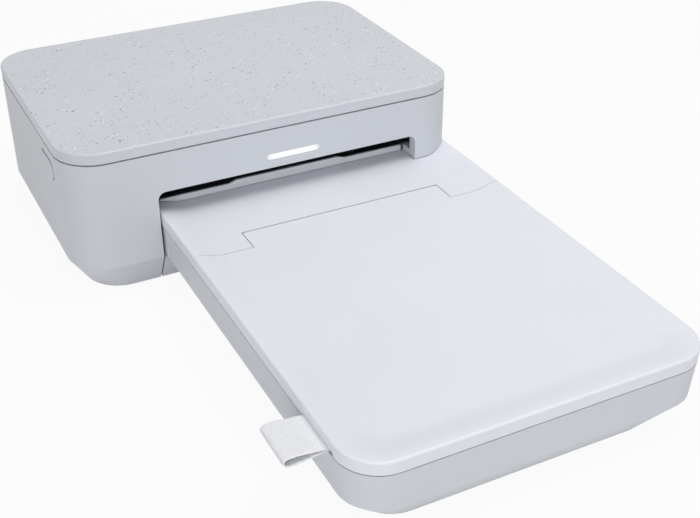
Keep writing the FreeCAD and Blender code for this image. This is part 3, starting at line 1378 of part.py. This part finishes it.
def make_lift_plate():
    x0 = paper_left_x + part_gap
    x1 = paper_right_x - part_gap
    ear_reach = 3.0
    ear_top = 2.4
    rear_gap = 1.2
    plate = [block(x0, x1, plate_pivot_y - ear_reach, tray_insert - tub_wall - rear_gap, plate_low_z,
                   plate_low_z + plate_thick)]
    for x, pin_x0, pin_x1 in ((x0, paper_left_x - guide_thick, x0 + plate_thick),
                              (x1 - plate_thick, x1 - plate_thick, paper_right_x + guide_thick)):
        plate.append(block(x, x + plate_thick, plate_pivot_y - ear_reach, plate_pivot_y + ear_reach, plate_low_z,
                           plate_pivot_z + ear_top))
        plate.append(rod_x(plate_pivot_y, plate_pivot_z, pin_x0, pin_x1, plate_pivot_radius))
    keep("lift_plate", join(plate))
    spring_y = -14.0
    spring_side = 28.0
    spring_radius = 4.0
    wire = 0.35
    turns = 6
    keep("lift_springs", Part.makeCompound(
        [coil_z(paper_middle_x + side, spring_y, tub_floor_z, plate_low_z, spring_radius, wire, turns)
         for side in (-spring_side, spring_side)]))


def main():
    make_casing()
    make_base()
    make_electronics()
    make_button()
    make_door()
    make_gears()
    make_gearbox()
    make_chassis()
    make_rollers()
    make_lip()
    make_head()
    make_cartridge()
    make_tub()
    make_tray_covers()
    make_tag()
    make_lift_plate()
    os.makedirs("parts", exist_ok=True)
    for name, shape in nodes.items():
        placed = shape.copy()
        placed.translate(Vec(0, shift_y, 0))
        placed.exportStep("parts/" + name + ".step")
        print(name, len(placed.Solids), placed.isValid(), round(placed.Volume, 1))
    print(len(nodes), "nodes")


main()
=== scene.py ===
# Compact photo printer: finishes, a folded felt tag, a coil for the button, light and a camera
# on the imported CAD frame. Lengths are in metres unless a note says otherwise.
import json
import math

import bmesh
import bpy
from mathutils import Matrix, Vector


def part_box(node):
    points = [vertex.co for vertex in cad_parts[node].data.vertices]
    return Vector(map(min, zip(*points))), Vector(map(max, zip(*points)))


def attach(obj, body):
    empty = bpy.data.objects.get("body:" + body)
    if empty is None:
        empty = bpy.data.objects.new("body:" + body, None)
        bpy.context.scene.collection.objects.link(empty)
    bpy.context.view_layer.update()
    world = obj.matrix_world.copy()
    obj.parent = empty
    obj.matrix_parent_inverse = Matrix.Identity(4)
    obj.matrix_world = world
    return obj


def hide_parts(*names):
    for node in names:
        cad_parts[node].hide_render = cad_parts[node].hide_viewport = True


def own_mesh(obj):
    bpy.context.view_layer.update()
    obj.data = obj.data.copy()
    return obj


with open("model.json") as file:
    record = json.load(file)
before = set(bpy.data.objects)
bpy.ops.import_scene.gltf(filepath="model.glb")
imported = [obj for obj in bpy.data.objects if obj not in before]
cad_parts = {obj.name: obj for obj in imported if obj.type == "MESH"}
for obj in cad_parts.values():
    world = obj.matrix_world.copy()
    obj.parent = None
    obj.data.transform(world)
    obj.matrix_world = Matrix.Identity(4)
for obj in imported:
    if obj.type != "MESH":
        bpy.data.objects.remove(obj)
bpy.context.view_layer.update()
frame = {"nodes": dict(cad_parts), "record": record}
modelShift = 0.0261  # how far the CAD model was moved along Y to be centred
print("frame loaded with", len(frame["nodes"]), "CAD pieces")


def putInScene(name, data):
    thing = bpy.data.objects.new(name, data)
    bpy.context.scene.collection.objects.link(thing)
    return thing


# Node helpers
white = (1, 1, 1, 1)


def toLinear(rgb):
    # from 0 to 255 on the sRGB curve to a linear colour
    parts = [value / 255 for value in rgb]
    return tuple(v / 12.92 if v <= 0.04045 else ((v + 0.055) / 1.055) ** 2.4 for v in parts) + (1,)


def shade(colour, factor):
    return tuple(min(1.0, value * factor) for value in colour[:3]) + (1,)


def addMath(nodes, links, operation, *values):
    calc = nodes.new("ShaderNodeMath")
    calc.operation = operation
    for socket, value in zip(calc.inputs, values):
        if isinstance(value, (int, float)):
            socket.default_value = value
        else:
            links.new(value, socket)
    return calc.outputs[0]


def addRange(nodes, links, value, low, high, newLow=0, newHigh=1):
    change = nodes.new("ShaderNodeMapRange")
    ends = (("From Min", low), ("From Max", high), ("To Min", newLow), ("To Max", newHigh))
    for name, number in ends:
        change.inputs[name].default_value = number
    links.new(value, change.inputs["Value"])
    return change.outputs["Result"]


def addNoise(nodes, links, place, scale, detail, stretch=None):
    noise = nodes.new("ShaderNodeTexNoise")
    noise.inputs["Scale"].default_value = scale
    noise.inputs["Detail"].default_value = detail
    if stretch:
        mapping = nodes.new("ShaderNodeMapping")
        mapping.inputs["Scale"].default_value = stretch
        links.new(place, mapping.inputs["Vector"])
        place = mapping.outputs[0]
    links.new(place, noise.inputs["Vector"])
    return noise.outputs["Fac"]


def addMix(nodes, links, share, first, second):
    mix = nodes.new("ShaderNodeMix")
    mix.data_type = "RGBA"
    links.new(share, mix.inputs["Factor"])
    for socket, colour in ((mix.inputs["A"], first), (mix.inputs["B"], second)):
        if isinstance(colour, tuple):
            socket.default_value = colour
        else:
            links.new(colour, socket)
    return mix.outputs["Result"]


def addBump(nodes, links, shader, height, strength, depth):
    bump = nodes.new("ShaderNodeBump")
    bump.inputs["Strength"].default_value = strength
    bump.inputs["Distance"].default_value = depth
    links.new(height, bump.inputs["Height"])
    links.new(bump.outputs[0], shader.inputs["Normal"])


def splitPlace(nodes, links, place):
    split = nodes.new("ShaderNodeSeparateXYZ")
    links.new(place, split.inputs[0])
    return split.outputs


def startFinish(name, roughness, metallic=0.0, specular=0.5):
    finish = bpy.data.materials.new(name)
    finish.use_nodes = True
    nodes, links = finish.node_tree.nodes, finish.node_tree.links
    shader = nodes["Principled BSDF"]
    shader.inputs["Roughness"].default_value = roughness
    shader.inputs["Metallic"].default_value = metallic
    shader.inputs["Specular IOR Level"].default_value = specular
    place = nodes.new("ShaderNodeTexCoord").outputs["Object"]
    return finish, nodes, links, shader, place


# Camera, from the photograph's perspective
viewPoint = {
    "place": (-0.168408, -0.378092, 0.268405),
    "azimuth": -26.663,
    "elevation": 31.655,
    "roll": -0.203,
    "lens": 59.341,  # millimetres, for a sensor of this width
    "sensorWidth": 36,
    "nearest": 0.01,
}


def addCamera(look):
    around, up, roll = (math.radians(look[key]) for key in ("azimuth", "elevation", "roll"))
    back = Vector((math.sin(around) * math.cos(up), -math.cos(around) * math.cos(up), math.sin(up)))
    right = (-back).cross(Vector((0, 0, 1))).normalized()
    top = right.cross(-back)
    turnedRight = math.cos(roll) * right + math.sin(roll) * top
    turnedTop = -math.sin(roll) * right + math.cos(roll) * top
    data = bpy.data.cameras.new("photoCamera")
    data.lens = look["lens"]
    data.sensor_width = look["sensorWidth"]
    data.clip_start = look["nearest"]
    camera = putInScene("photoCamera", data)
    turn = Matrix((turnedRight, turnedTop, back)).transposed().to_4x4()
    camera.matrix_world = Matrix.Translation(Vector(look["place"])) @ turn
    bpy.context.scene.camera = camera


addCamera(viewPoint)
print("camera set")


# Soft studio light on a pale floor that the camera sees as nearly white
studio = {
    "worldStrength": 0.35,
    "worldColour": (0.97, 0.98, 1.0),
    "backgroundStrength": 1.0,  # 1 is plain white
    "lamps": [
        # name, place, aimed at, side of the softbox, watts
        ("overheadSoftbox", (0.25, -0.15, 1.0), (0.0, 0.0, 0.03), 0.65, 5.9),
        ("frontSoftbox", (0.35, -0.7, 0.1), (0.03, -0.15, 0.02), 0.4, 0.35),
        ("frontLeftSoftbox", (-0.66, -0.86, 0.28), (0.0, -0.05, 0.03), 0.6, 4.2),
    ],
    "floorSide": 6.0,
    "floorColour": (0.7, 0.7, 0.71),
    "floorGlow": 0.93,  # share of plain white that the camera sees in the floor
}


def addLamp(name, place, target, side, power):
    data = bpy.data.lights.new(name, "AREA")
    data.shape = "SQUARE"
    data.size = side
    data.energy = power
    lamp = putInScene(name, data)
    aim = Vector(target) - Vector(place)
    turn = aim.to_track_quat("-Z", "Y").to_matrix().to_4x4()
    lamp.matrix_world = Matrix.Translation(Vector(place)) @ turn


def seenDirectly(nodes, links):
    rays = nodes.new("ShaderNodeLightPath").outputs
    seen = addMath(nodes, links, "MAXIMUM", rays["Is Camera Ray"], rays["Is Glossy Ray"])
    return addMath(nodes, links, "MAXIMUM", seen, rays["Is Transmission Ray"])


def showMixed(nodes, links, share, lit, seen, output):
    mix = nodes.new("ShaderNodeMixShader")
    links.new(share, mix.inputs[0])
    links.new(lit.outputs[0], mix.inputs[1])
    links.new(seen.outputs[0], mix.inputs[2])
    links.new(mix.outputs[0], nodes.new(output).inputs["Surface"])


def buildWorld(look):
    world = bpy.data.worlds.new("paleStudio")
    world.use_nodes = True
    nodes, links = world.node_tree.nodes, world.node_tree.links
    nodes.clear()
    lit = nodes.new("ShaderNodeBackground")
    lit.inputs["Color"].default_value = (*look["worldColour"], 1)
    lit.inputs["Strength"].default_value = look["worldStrength"]
    seen = nodes.new("ShaderNodeBackground")
    seen.inputs["Color"].default_value = white
    seen.inputs["Strength"].default_value = look["backgroundStrength"]
    showMixed(nodes, links, seenDirectly(nodes, links), lit, seen, "ShaderNodeOutputWorld")
    bpy.context.scene.world = world


def buildFloor(look):
    half = look["floorSide"] / 2
    corners = [(-half, -half, 0), (half, -half, 0), (half, half, 0), (-half, half, 0)]
    mesh = bpy.data.meshes.new("studioFloor")
    mesh.from_pydata(corners, [], [(0, 1, 2, 3)])
    floor = putInScene("studioFloor", mesh)
    paper = bpy.data.materials.new("studioPaper")
    paper.use_nodes = True
    nodes, links = paper.node_tree.nodes, paper.node_tree.links
    nodes.clear()
    matt = nodes.new("ShaderNodeBsdfDiffuse")
    matt.inputs["Color"].default_value = (*look["floorColour"], 1)
    glow = nodes.new("ShaderNodeEmission")
    share = addMath(nodes, links, "MULTIPLY", seenDirectly(nodes, links), look["floorGlow"])
    showMixed(nodes, links, share, matt, glow, "ShaderNodeOutputMaterial")
    mesh.materials.append(paper)


for lamp in studio["lamps"]:
    addLamp(*lamp)
buildWorld(studio)
buildFloor(studio)
bpy.context.scene.view_settings.view_transform = "Standard"
print("studio lit with", len(studio["lamps"]), "softboxes")


# Moulded plastic: a slow drift of tone, a fine spark-eroded grain and an uneven sheen
moulding = {
    "driftScale": 18,
    "driftDetail": 1.0,
    "driftRange": (0.35, 0.65),
    "grainDetail": 2.0,
    "grainRange": (0.3, 0.7),
    "grainShade": 0.8,
    "unevenSheen": 0.06,
    "specular": 0.4,
}


def mouldedPlastic(name, look):
    rough, uneven = look["roughness"], moulding["unevenSheen"]
    specular = look.get("specular", moulding["specular"])
    finish, nodes, links, shader, place = startFinish(name, rough, specular=specular)
    base = toLinear(look["colour"])
    drift = addNoise(nodes, links, place, moulding["driftScale"], moulding["driftDetail"])
    drift = addRange(nodes, links, drift, *moulding["driftRange"])
    darker, lighter = shade(base, 1 - look["drift"]), shade(base, 1 + look["drift"])
    tone = addMix(nodes, links, drift, darker, lighter)
    grain = addNoise(nodes, links, place, look["grainScale"], moulding["grainDetail"])
    pits = addRange(nodes, links, grain, *moulding["grainRange"], 0, look["grainTone"])
    tone = addMix(nodes, links, pits, tone, shade(base, moulding["grainShade"]))
    links.new(tone, shader.inputs["Base Color"])
    sheen = addRange(nodes, links, grain, *moulding["grainRange"], rough - uneven, rough + uneven)
    links.new(sheen, shader.inputs["Roughness"])
    addBump(nodes, links, shader, grain, look["grainStrength"], look["grainDepth"])
    return finish, nodes, links, shader, place, tone


plasticLooks = {
    "paleShell": {
        "colour": (208, 211, 217), "roughness": 0.44, "drift": 0.012,
        "grainScale": 3600, "grainTone": 0.05, "grainStrength": 0.25, "grainDepth": 0.00004,
    },
    "paleTray": {
        "colour": (230, 232, 238), "roughness": 0.44, "drift": 0.012,
        "grainScale": 3600, "grainTone": 0.04, "grainStrength": 0.22, "grainDepth": 0.00004,
    },
    "tubPlastic": {
        "colour": (211, 214, 219), "roughness": 0.5, "drift": 0.015,
        "grainScale": 3000, "grainTone": 0.06, "grainStrength": 0.3, "grainDepth": 0.00005,
    },
    "darkPlastic": {
        "colour": (26, 27, 30), "roughness": 0.42, "drift": 0.04,
        "grainScale": 3200, "grainTone": 0.12, "grainStrength": 0.3, "grainDepth": 0.00005,
    },
    "cartridgePlastic": {
        "colour": (52, 55, 60), "roughness": 0.38, "drift": 0.03,
        "grainScale": 2600, "grainTone": 0.1, "grainStrength": 0.25, "grainDepth": 0.00005,
    },
    "gearPlastic": {
        "colour": (232, 228, 214), "roughness": 0.36, "drift": 0.02,
        "grainScale": 2200, "grainTone": 0.05, "grainStrength": 0.15, "grainDepth": 0.00003,
    },
    "rollerRubber": {
        "colour": (38, 38, 41), "roughness": 0.78, "drift": 0.05, "specular": 0.25,
        "grainScale": 2400, "grainTone": 0.3, "grainStrength": 0.5, "grainDepth": 0.00008,
    },
    "footRubber": {
        "colour": (88, 91, 96), "roughness": 0.84, "drift": 0.04, "specular": 0.2,
        "grainScale": 2000, "grainTone": 0.25, "grainStrength": 0.5, "grainDepth": 0.00008,
    },
}
finishes = {name: mouldedPlastic(name, look)[0] for name, look in plasticLooks.items()}


# Top cover: the same plastic with dark and white flakes, which show on the flat top alone
coverLook = {
    "colour": (207, 210, 216),
    "roughness": 0.36,
    "drift": 0.012,
    "grainScale": 3600,
    "grainTone": 0.05,
    "grainStrength": 0.22,
    "grainDepth": 0.00004,
    "flakes": [
        # scale, share of cells with a flake, smallest and largest radius in cells, colour, strength
        (760, 0.22, 0.12, 0.26, (136, 141, 150), 0.85),
        (640, 0.15, 0.11, 0.24, (84, 89, 99), 0.9),
        (440, 0.06, 0.12, 0.22, (44, 48, 58), 0.95),
        (540, 0.13, 0.11, 0.23, (254, 255, 255), 0.98),
    ],
    "clusterScale": 85,
    "clusterDetail": 1.0,
    "clusterRange": (0.36, 0.64),
    "clusterDensity": (0.1, 2.0),  # times the share, between clusters and in them
    "topStarts": 0.06785,  # height at which the flakes set in
    "topFull": 0.06795,
}


def speckledCover(look):
    finish, nodes, links, shader, place, tone = mouldedPlastic("speckledCover", look)
    height = splitPlace(nodes, links, place)["Z"]
    onTop = addRange(nodes, links, height, look["topStarts"], look["topFull"])
    cluster = addNoise(nodes, links, place, look["clusterScale"], look["clusterDetail"])
    density = addRange(nodes, links, cluster, *look["clusterRange"], *look["clusterDensity"])
    for scale, share, smallest, largest, colour, strength in look["flakes"]:
        cells = nodes.new("ShaderNodeTexVoronoi")
        cells.inputs["Scale"].default_value = scale
        links.new(place, cells.inputs["Vector"])
        draws = nodes.new("ShaderNodeSeparateColor")
        links.new(cells.outputs["Color"], draws.inputs[0])
        chance = addMath(nodes, links, "MULTIPLY", density, share)
        chosen = addMath(nodes, links, "LESS_THAN", draws.outputs[0], chance)
        radius = addRange(nodes, links, draws.outputs[1], 0, 1, smallest, largest)
        inside = addMath(nodes, links, "LESS_THAN", cells.outputs["Distance"], radius)
        flake = addMath(nodes, links, "MULTIPLY", chosen, inside)
        flake = addMath(nodes, links, "MULTIPLY", flake, onTop)
        cover = addMath(nodes, links, "MULTIPLY", flake, strength)
        tone = addMix(nodes, links, cover, tone, toLinear(colour))
    links.new(tone, shader.inputs["Base Color"])
    return finish


finishes["speckledCover"] = speckledCover(coverLook)


# Metals: brushed along one axis, with faint stains
brushing = {
    "lineDetail": 3.0,
    "lineRange": (0.3, 0.7),
    "darkLine": 0.86,
    "brightLine": 1.06,
    "stainScale": 60,
    "stainDetail": 3.0,
    "stainRange": (0.4, 0.75),
    "stainShare": 0.2,
    "stainShade": 0.6,
    "smoother": 0.07,
    "rougher": 0.09,
    "bumpStrength": 0.25,
    "bumpDepth": 0.00003,
}


def brushedMetal(name, look):
    rough, lineRange = look["roughness"], brushing["lineRange"]
    finish, nodes, links, shader, place = startFinish(name, rough, metallic=1.0)
    base = toLinear(look["colour"])
    dark, bright = shade(base, brushing["darkLine"]), shade(base, brushing["brightLine"])
    lines = addNoise(nodes, links, place, look["lineScale"], brushing["lineDetail"],
                     look["stretch"])
    stain = addNoise(nodes, links, place, brushing["stainScale"], brushing["stainDetail"])
    tone = addMix(nodes, links, addRange(nodes, links, lines, *lineRange), dark, bright)
    stained = addRange(nodes, links, stain, *brushing["stainRange"], 0, brushing["stainShare"])
    tone = addMix(nodes, links, stained, tone, shade(base, brushing["stainShade"]))
    links.new(tone, shader.inputs["Base Color"])
    sheen = addRange(nodes, links, lines, *lineRange, rough - brushing["smoother"],
                     rough + brushing["rougher"])
    links.new(sheen, shader.inputs["Roughness"])
    addBump(nodes, links, shader, lines, brushing["bumpStrength"], brushing["bumpDepth"])
    return finish


metalLooks = {
    "sheetSteel": {"colour": (176, 180, 186), "roughness": 0.34, "lineScale": 900,
                   "stretch": (1, 0.06, 1)},
    "shaftSteel": {"colour": (196, 198, 202), "roughness": 0.22, "lineScale": 1400,
                   "stretch": (0.08, 1, 1)},
    "motorCan": {"colour": (168, 170, 174), "roughness": 0.28, "lineScale": 700,
                 "stretch": (1, 0.3, 0.3)},
    "brassPinion": {"colour": (205, 168, 92), "roughness": 0.26, "lineScale": 1600,
                    "stretch": (0.2, 1, 1)},
    "sinkAluminium": {"colour": (186, 189, 193), "roughness": 0.4, "lineScale": 800,
                      "stretch": (0.05, 1, 1)},
}
finishes.update({name: brushedMetal(name, look) for name, look in metalLooks.items()})


# Light bar: a milky diffuser lit from behind, a little weaker at its rounded ends
lightLook = {
    "colour": (150, 153, 158),
    "roughness": 0.3,
    "cloudScale": 900,
    "cloudDetail": 2.0,
    "cloudRange": (0.3, 0.7),
    "cloudShade": 0.96,
    "glow": 0.8,
    "endGlow": 0.45,
    "middle": 0.0079,  # X of the bar's middle
    "reach": 0.0122,  # from the middle to an end
    "fadeStarts": 0.75,  # share of the reach
}


def litDiffuser(look):
    finish, nodes, links, shader, place = startFinish("lightBar", look["roughness"])
    base = toLinear(look["colour"])
    cloud = addNoise(nodes, links, place, look["cloudScale"], look["cloudDetail"])
    cloud = addRange(nodes, links, cloud, *look["cloudRange"])
    milk = addMix(nodes, links, cloud, shade(base, look["cloudShade"]), base)
    links.new(milk, shader.inputs["Base Color"])
    along = splitPlace(nodes, links, place)["X"]
    offset = addMath(nodes, links, "SUBTRACT", along, look["middle"])
    fromMiddle = addMath(nodes, links, "ABSOLUTE", offset)
    shader.inputs["Emission Color"].default_value = white
    glow = addRange(nodes, links, fromMiddle, look["reach"] * look["fadeStarts"], look["reach"],
                    look["glow"], look["endGlow"])
    links.new(glow, shader.inputs["Emission Strength"])
    return finish


finishes["lightBar"] = litDiffuser(lightLook)


# Circuit board: green mask with patches of copper tracks under it
boardLook = {
    "mask": (24, 84, 58),
    "track": (46, 122, 82),
    "roughness": 0.32,
    "trackScale": 420,
    "trackWidth": 0.09,
    "patchScale": 70,
    "patchDetail": 1.0,
    "patchRange": (0.48, 0.52),
    "bumpStrength": 0.4,
    "bumpDepth": 0.00003,
}


def circuitBoard(look):
    finish, nodes, links, shader, place = startFinish("circuitBoard", look["roughness"])
    tracks = nodes.new("ShaderNodeTexBrick")
    tracks.inputs["Scale"].default_value = look["trackScale"]
    tracks.inputs["Mortar Size"].default_value = look["trackWidth"]
    links.new(place, tracks.inputs["Vector"])
    patches = addNoise(nodes, links, place, look["patchScale"], look["patchDetail"])
    patches = addRange(nodes, links, patches, *look["patchRange"])
    shown = addMath(nodes, links, "MULTIPLY", tracks.outputs["Fac"], patches)
    tone = addMix(nodes, links, shown, toLinear(look["mask"]), toLinear(look["track"]))
    links.new(tone, shader.inputs["Base Color"])
    addBump(nodes, links, shader, shown, look["bumpStrength"], look["bumpDepth"])
    return finish


finishes["circuitBoard"] = circuitBoard(boardLook)


# Dye film: thin glossy film, with yellow, magenta and cyan panels in turn along its run
filmLook = {
    "panels": [(214, 176, 40), (168, 42, 98), (36, 116, 150)],
    "secondStarts": 0.333,  # as a share of one turn of the three
    "thirdStarts": 0.667,
    "panelLong": 0.021,
    "roughness": 0.16,
    "rippleScale": 260,
    "rippleDetail": 2.0,
    "rippleStretch": (0.05, 1, 1),
    "bumpStrength": 0.2,
    "bumpDepth": 0.0001,
}


def dyeFilm(look):
    finish, nodes, links, shader, place = startFinish("ribbonFilm", look["roughness"])
    yellow, magenta, cyan = (toLinear(panel) for panel in look["panels"])
    turnsPerMetre = 1 / (look["panelLong"] * len(look["panels"]))
    run = splitPlace(nodes, links, place)["Y"]
    turns = addMath(nodes, links, "MULTIPLY", run, turnsPerMetre)
    ramp = nodes.new("ShaderNodeValToRGB")
    ramp.color_ramp.interpolation = "CONSTANT"
    ramp.color_ramp.elements[0].color = yellow
    ramp.color_ramp.elements[1].position = look["secondStarts"]
    ramp.color_ramp.elements[1].color = magenta
    ramp.color_ramp.elements.new(look["thirdStarts"]).color = cyan
    links.new(addMath(nodes, links, "FRACT", turns), ramp.inputs[0])
    links.new(ramp.outputs[0], shader.inputs["Base Color"])
    ripple = addNoise(nodes, links, place, look["rippleScale"], look["rippleDetail"],
                      look["rippleStretch"])
    addBump(nodes, links, shader, ripple, look["bumpStrength"], look["bumpDepth"])
    return finish


finishes["ribbonFilm"] = dyeFilm(filmLook)


# Tag cloth: short matted fibres, off-white, with the soft fuzz of pressed felt
clothLook = {
    "colour": (240, 241, 243),
    "shade": (230, 231, 234),
    "roughness": 0.92,
    "specular": 0.1,
    "fibreScale": 2400,
    "fibreDetail": 4.0,
    "lyingScale": 0.6,  # share of the fibre scale
    "lyingDetail": 3.0,
    "lyingStretch": (0.6, 1.2, 1),
    "fibreRange": (0.38, 0.6),
    "sheen": 0.45,
    "sheenRoughness": 0.5,
    "bumpStrength": 0.5,
    "bumpDepth": 0.00015,
}


def tagCloth(look):
    finish, nodes, links, shader, place = startFinish("tagFabric", look["roughness"],
                                                      specular=look["specular"])
    fine = addNoise(nodes, links, place, look["fibreScale"], look["fibreDetail"])
    lying = addNoise(nodes, links, place, look["fibreScale"] * look["lyingScale"],
                     look["lyingDetail"], look["lyingStretch"])
    both = addMath(nodes, links, "ADD", fine, lying)
    fibres = addMath(nodes, links, "MULTIPLY", both, 0.5)  # their mean
    bright = addRange(nodes, links, fibres, *look["fibreRange"])
    tone = addMix(nodes, links, bright, toLinear(look["shade"]), toLinear(look["colour"]))
    links.new(tone, shader.inputs["Base Color"])
    shader.inputs["Sheen Weight"].default_value = look["sheen"]
    shader.inputs["Sheen Roughness"].default_value = look["sheenRoughness"]
    addBump(nodes, links, shader, fibres, look["bumpStrength"], look["bumpDepth"])
    return finish


finishes["tagFabric"] = tagCloth(clothLook)
print("finishes made:", len(finishes))


# Every CAD piece takes the finish of its slot in the record
for part in frame["record"]["subparts"]:
    words = part["material_slot"].split("_")
    finishName = words[0] + "".join(word.capitalize() for word in words[1:])
    piece = frame["nodes"][part["node"]]
    for slot in piece.material_slots:
        slot.material = finishes[finishName]


# Pull tag: one strip of felt folded back on itself, its ends held under the left edge of the lid
tagLook = {
    "width": 0.0186,
    "flatLength": 0.0444,
    "thickness": 0.0006,
    "front": -0.1573,  # Y of its front edge in the CAD model
    # X and Z of the strip's middle line, in millimetres, from the lower end round the fold to the
    # upper end
    "line": [(-46.0, 30.45), (-49.0, 30.45), (-52.0, 30.42), (-56.0, 30.08), (-60.0, 29.62),
             (-63.5, 29.26), (-65.7, 29.3), (-66.9, 30.0), (-67.15, 30.9), (-66.75, 31.75),
             (-65.5, 32.3), (-63.2, 32.42), (-60.0, 32.1), (-56.0, 31.6), (-52.0, 31.18),
             (-49.0, 31.15), (-46.0, 31.15)],
    "lineUnits": 1000,  # in a metre
    "stepsPerSpan": 5,
    "stepsAcross": 24,
    "edgeWander": 0.00007,
    "edgeWave": 1.7,
    "faceWander": 0.00006,
    # waves over the face: turns across and along the strip, for a quick and a slow one
    "quickWave": (9, 0.5),
    "slowWave": (4, 0.21),
}


def smoothLine(points, steps):
    # a smooth curve through the points
    line = []
    last = len(points) - 1
    for k in range(last):
        near = (points[max(0, min(last, k + offset))] for offset in (-1, 0, 1, 2))
        before, start, end, after = (Vector(point) for point in near)
        for s in range(steps):
            t = s / steps
            line.append(0.5 * (2 * start + (end - before) * t
                               + (2 * before - 5 * start + 4 * end - after) * t * t
                               + (3 * start - before - 3 * end + after) * t ** 3))
    line.append(Vector(points[-1]))
    return line


def putMesh(name, form, finish):
    mesh = bpy.data.meshes.new(name)
    form.to_mesh(mesh)
    form.free()
    mesh.shade_smooth()
    mesh.materials.append(finish)
    return putInScene(name, mesh)


def makePullTag(look):
    line = smoothLine(look["line"], look["stepsPerSpan"])
    units, steps = look["lineUnits"], look["stepsAcross"]
    quickAcross, quickAlong = look["quickWave"]
    slowAcross, slowAlong = look["slowWave"]
    form = bmesh.new()
    rows = []
    for k, point in enumerate(line):
        ahead = line[min(k + 1, len(line) - 1)] - line[max(k - 1, 0)]
        across = Vector((-ahead.y, ahead.x)).normalized()
        row = []
        for j in range(steps + 1):
            share = j / steps
            edge = math.sin(k * look["edgeWave"] + j) * look["edgeWander"] if j in (0, steps) else 0
            lift = (look["faceWander"] * math.sin(share * quickAcross + k * quickAlong)
                    * math.sin(k * slowAlong + share * slowAcross))
            x = point.x / units + across.x * lift
            y = look["front"] + modelShift + share * look["width"] + edge
            z = point.y / units + across.y * lift
            row.append(form.verts.new((x, y, z)))
        rows.append(row)
    for first, second in zip(rows, rows[1:]):
        for j in range(steps):
            form.faces.new((first[j], second[j], second[j + 1], first[j + 1]))
    tag = putMesh("foldedPullTag", form, finishes["tagFabric"])
    thicken = tag.modifiers.new("feltThickness", "SOLIDIFY")
    thicken.thickness = look["thickness"]
    thicken.offset = 0
    soften = tag.modifiers.new("softRims", "SUBSURF")
    soften.levels = soften.render_levels = 1
    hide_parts("pull_tag")
    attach(tag, "lid")


makePullTag(tagLook)
print("pull tag folded")


# Button spring: the solid's coil again, wound as a wire coil of its own within the solid's box
springLook = {"wireRadius": 0.00025, "turns": 4, "stepsPerTurn": 36, "sides": 10}


def makeButtonSpring(look):
    low, high = (Vector(corner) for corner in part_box("button_spring"))
    middle = (low + high) / 2
    wire, sides = look["wireRadius"], look["sides"]
    radius = (high.z - low.z) / 2 - wire
    steps = look["turns"] * look["stepsPerTurn"]
    angles = [math.tau * j / sides for j in range(sides)]
    form = bmesh.new()
    rings = []
    for k in range(steps + 1):
        turn = math.tau * look["turns"] * k / steps
        outward = Vector((0, math.cos(turn), math.sin(turn)))
        along = low.x + wire + (high.x - low.x - wire * 2) * k / steps
        centre = Vector((along, middle.y, middle.z)) + outward * radius
        rings.append([form.verts.new(centre + (outward * math.cos(a)
                                               + Vector((math.sin(a), 0, 0))) * wire)
                      for a in angles])
    for first, second in zip(rings, rings[1:]):
        for j in range(sides):
            after = (j + 1) % sides
            form.faces.new((first[j], second[j], second[after], first[after]))
    form.faces.new(rings[0])
    form.faces.new(rings[-1][::-1])
    bmesh.ops.recalc_face_normals(form, faces=form.faces)
    coil = putMesh("pressedCoil", form, finishes["shaftSteel"])
    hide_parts("button_spring")
    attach(coil, "printer")
    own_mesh(coil)


makeButtonSpring(springLook)
print("button spring wound")
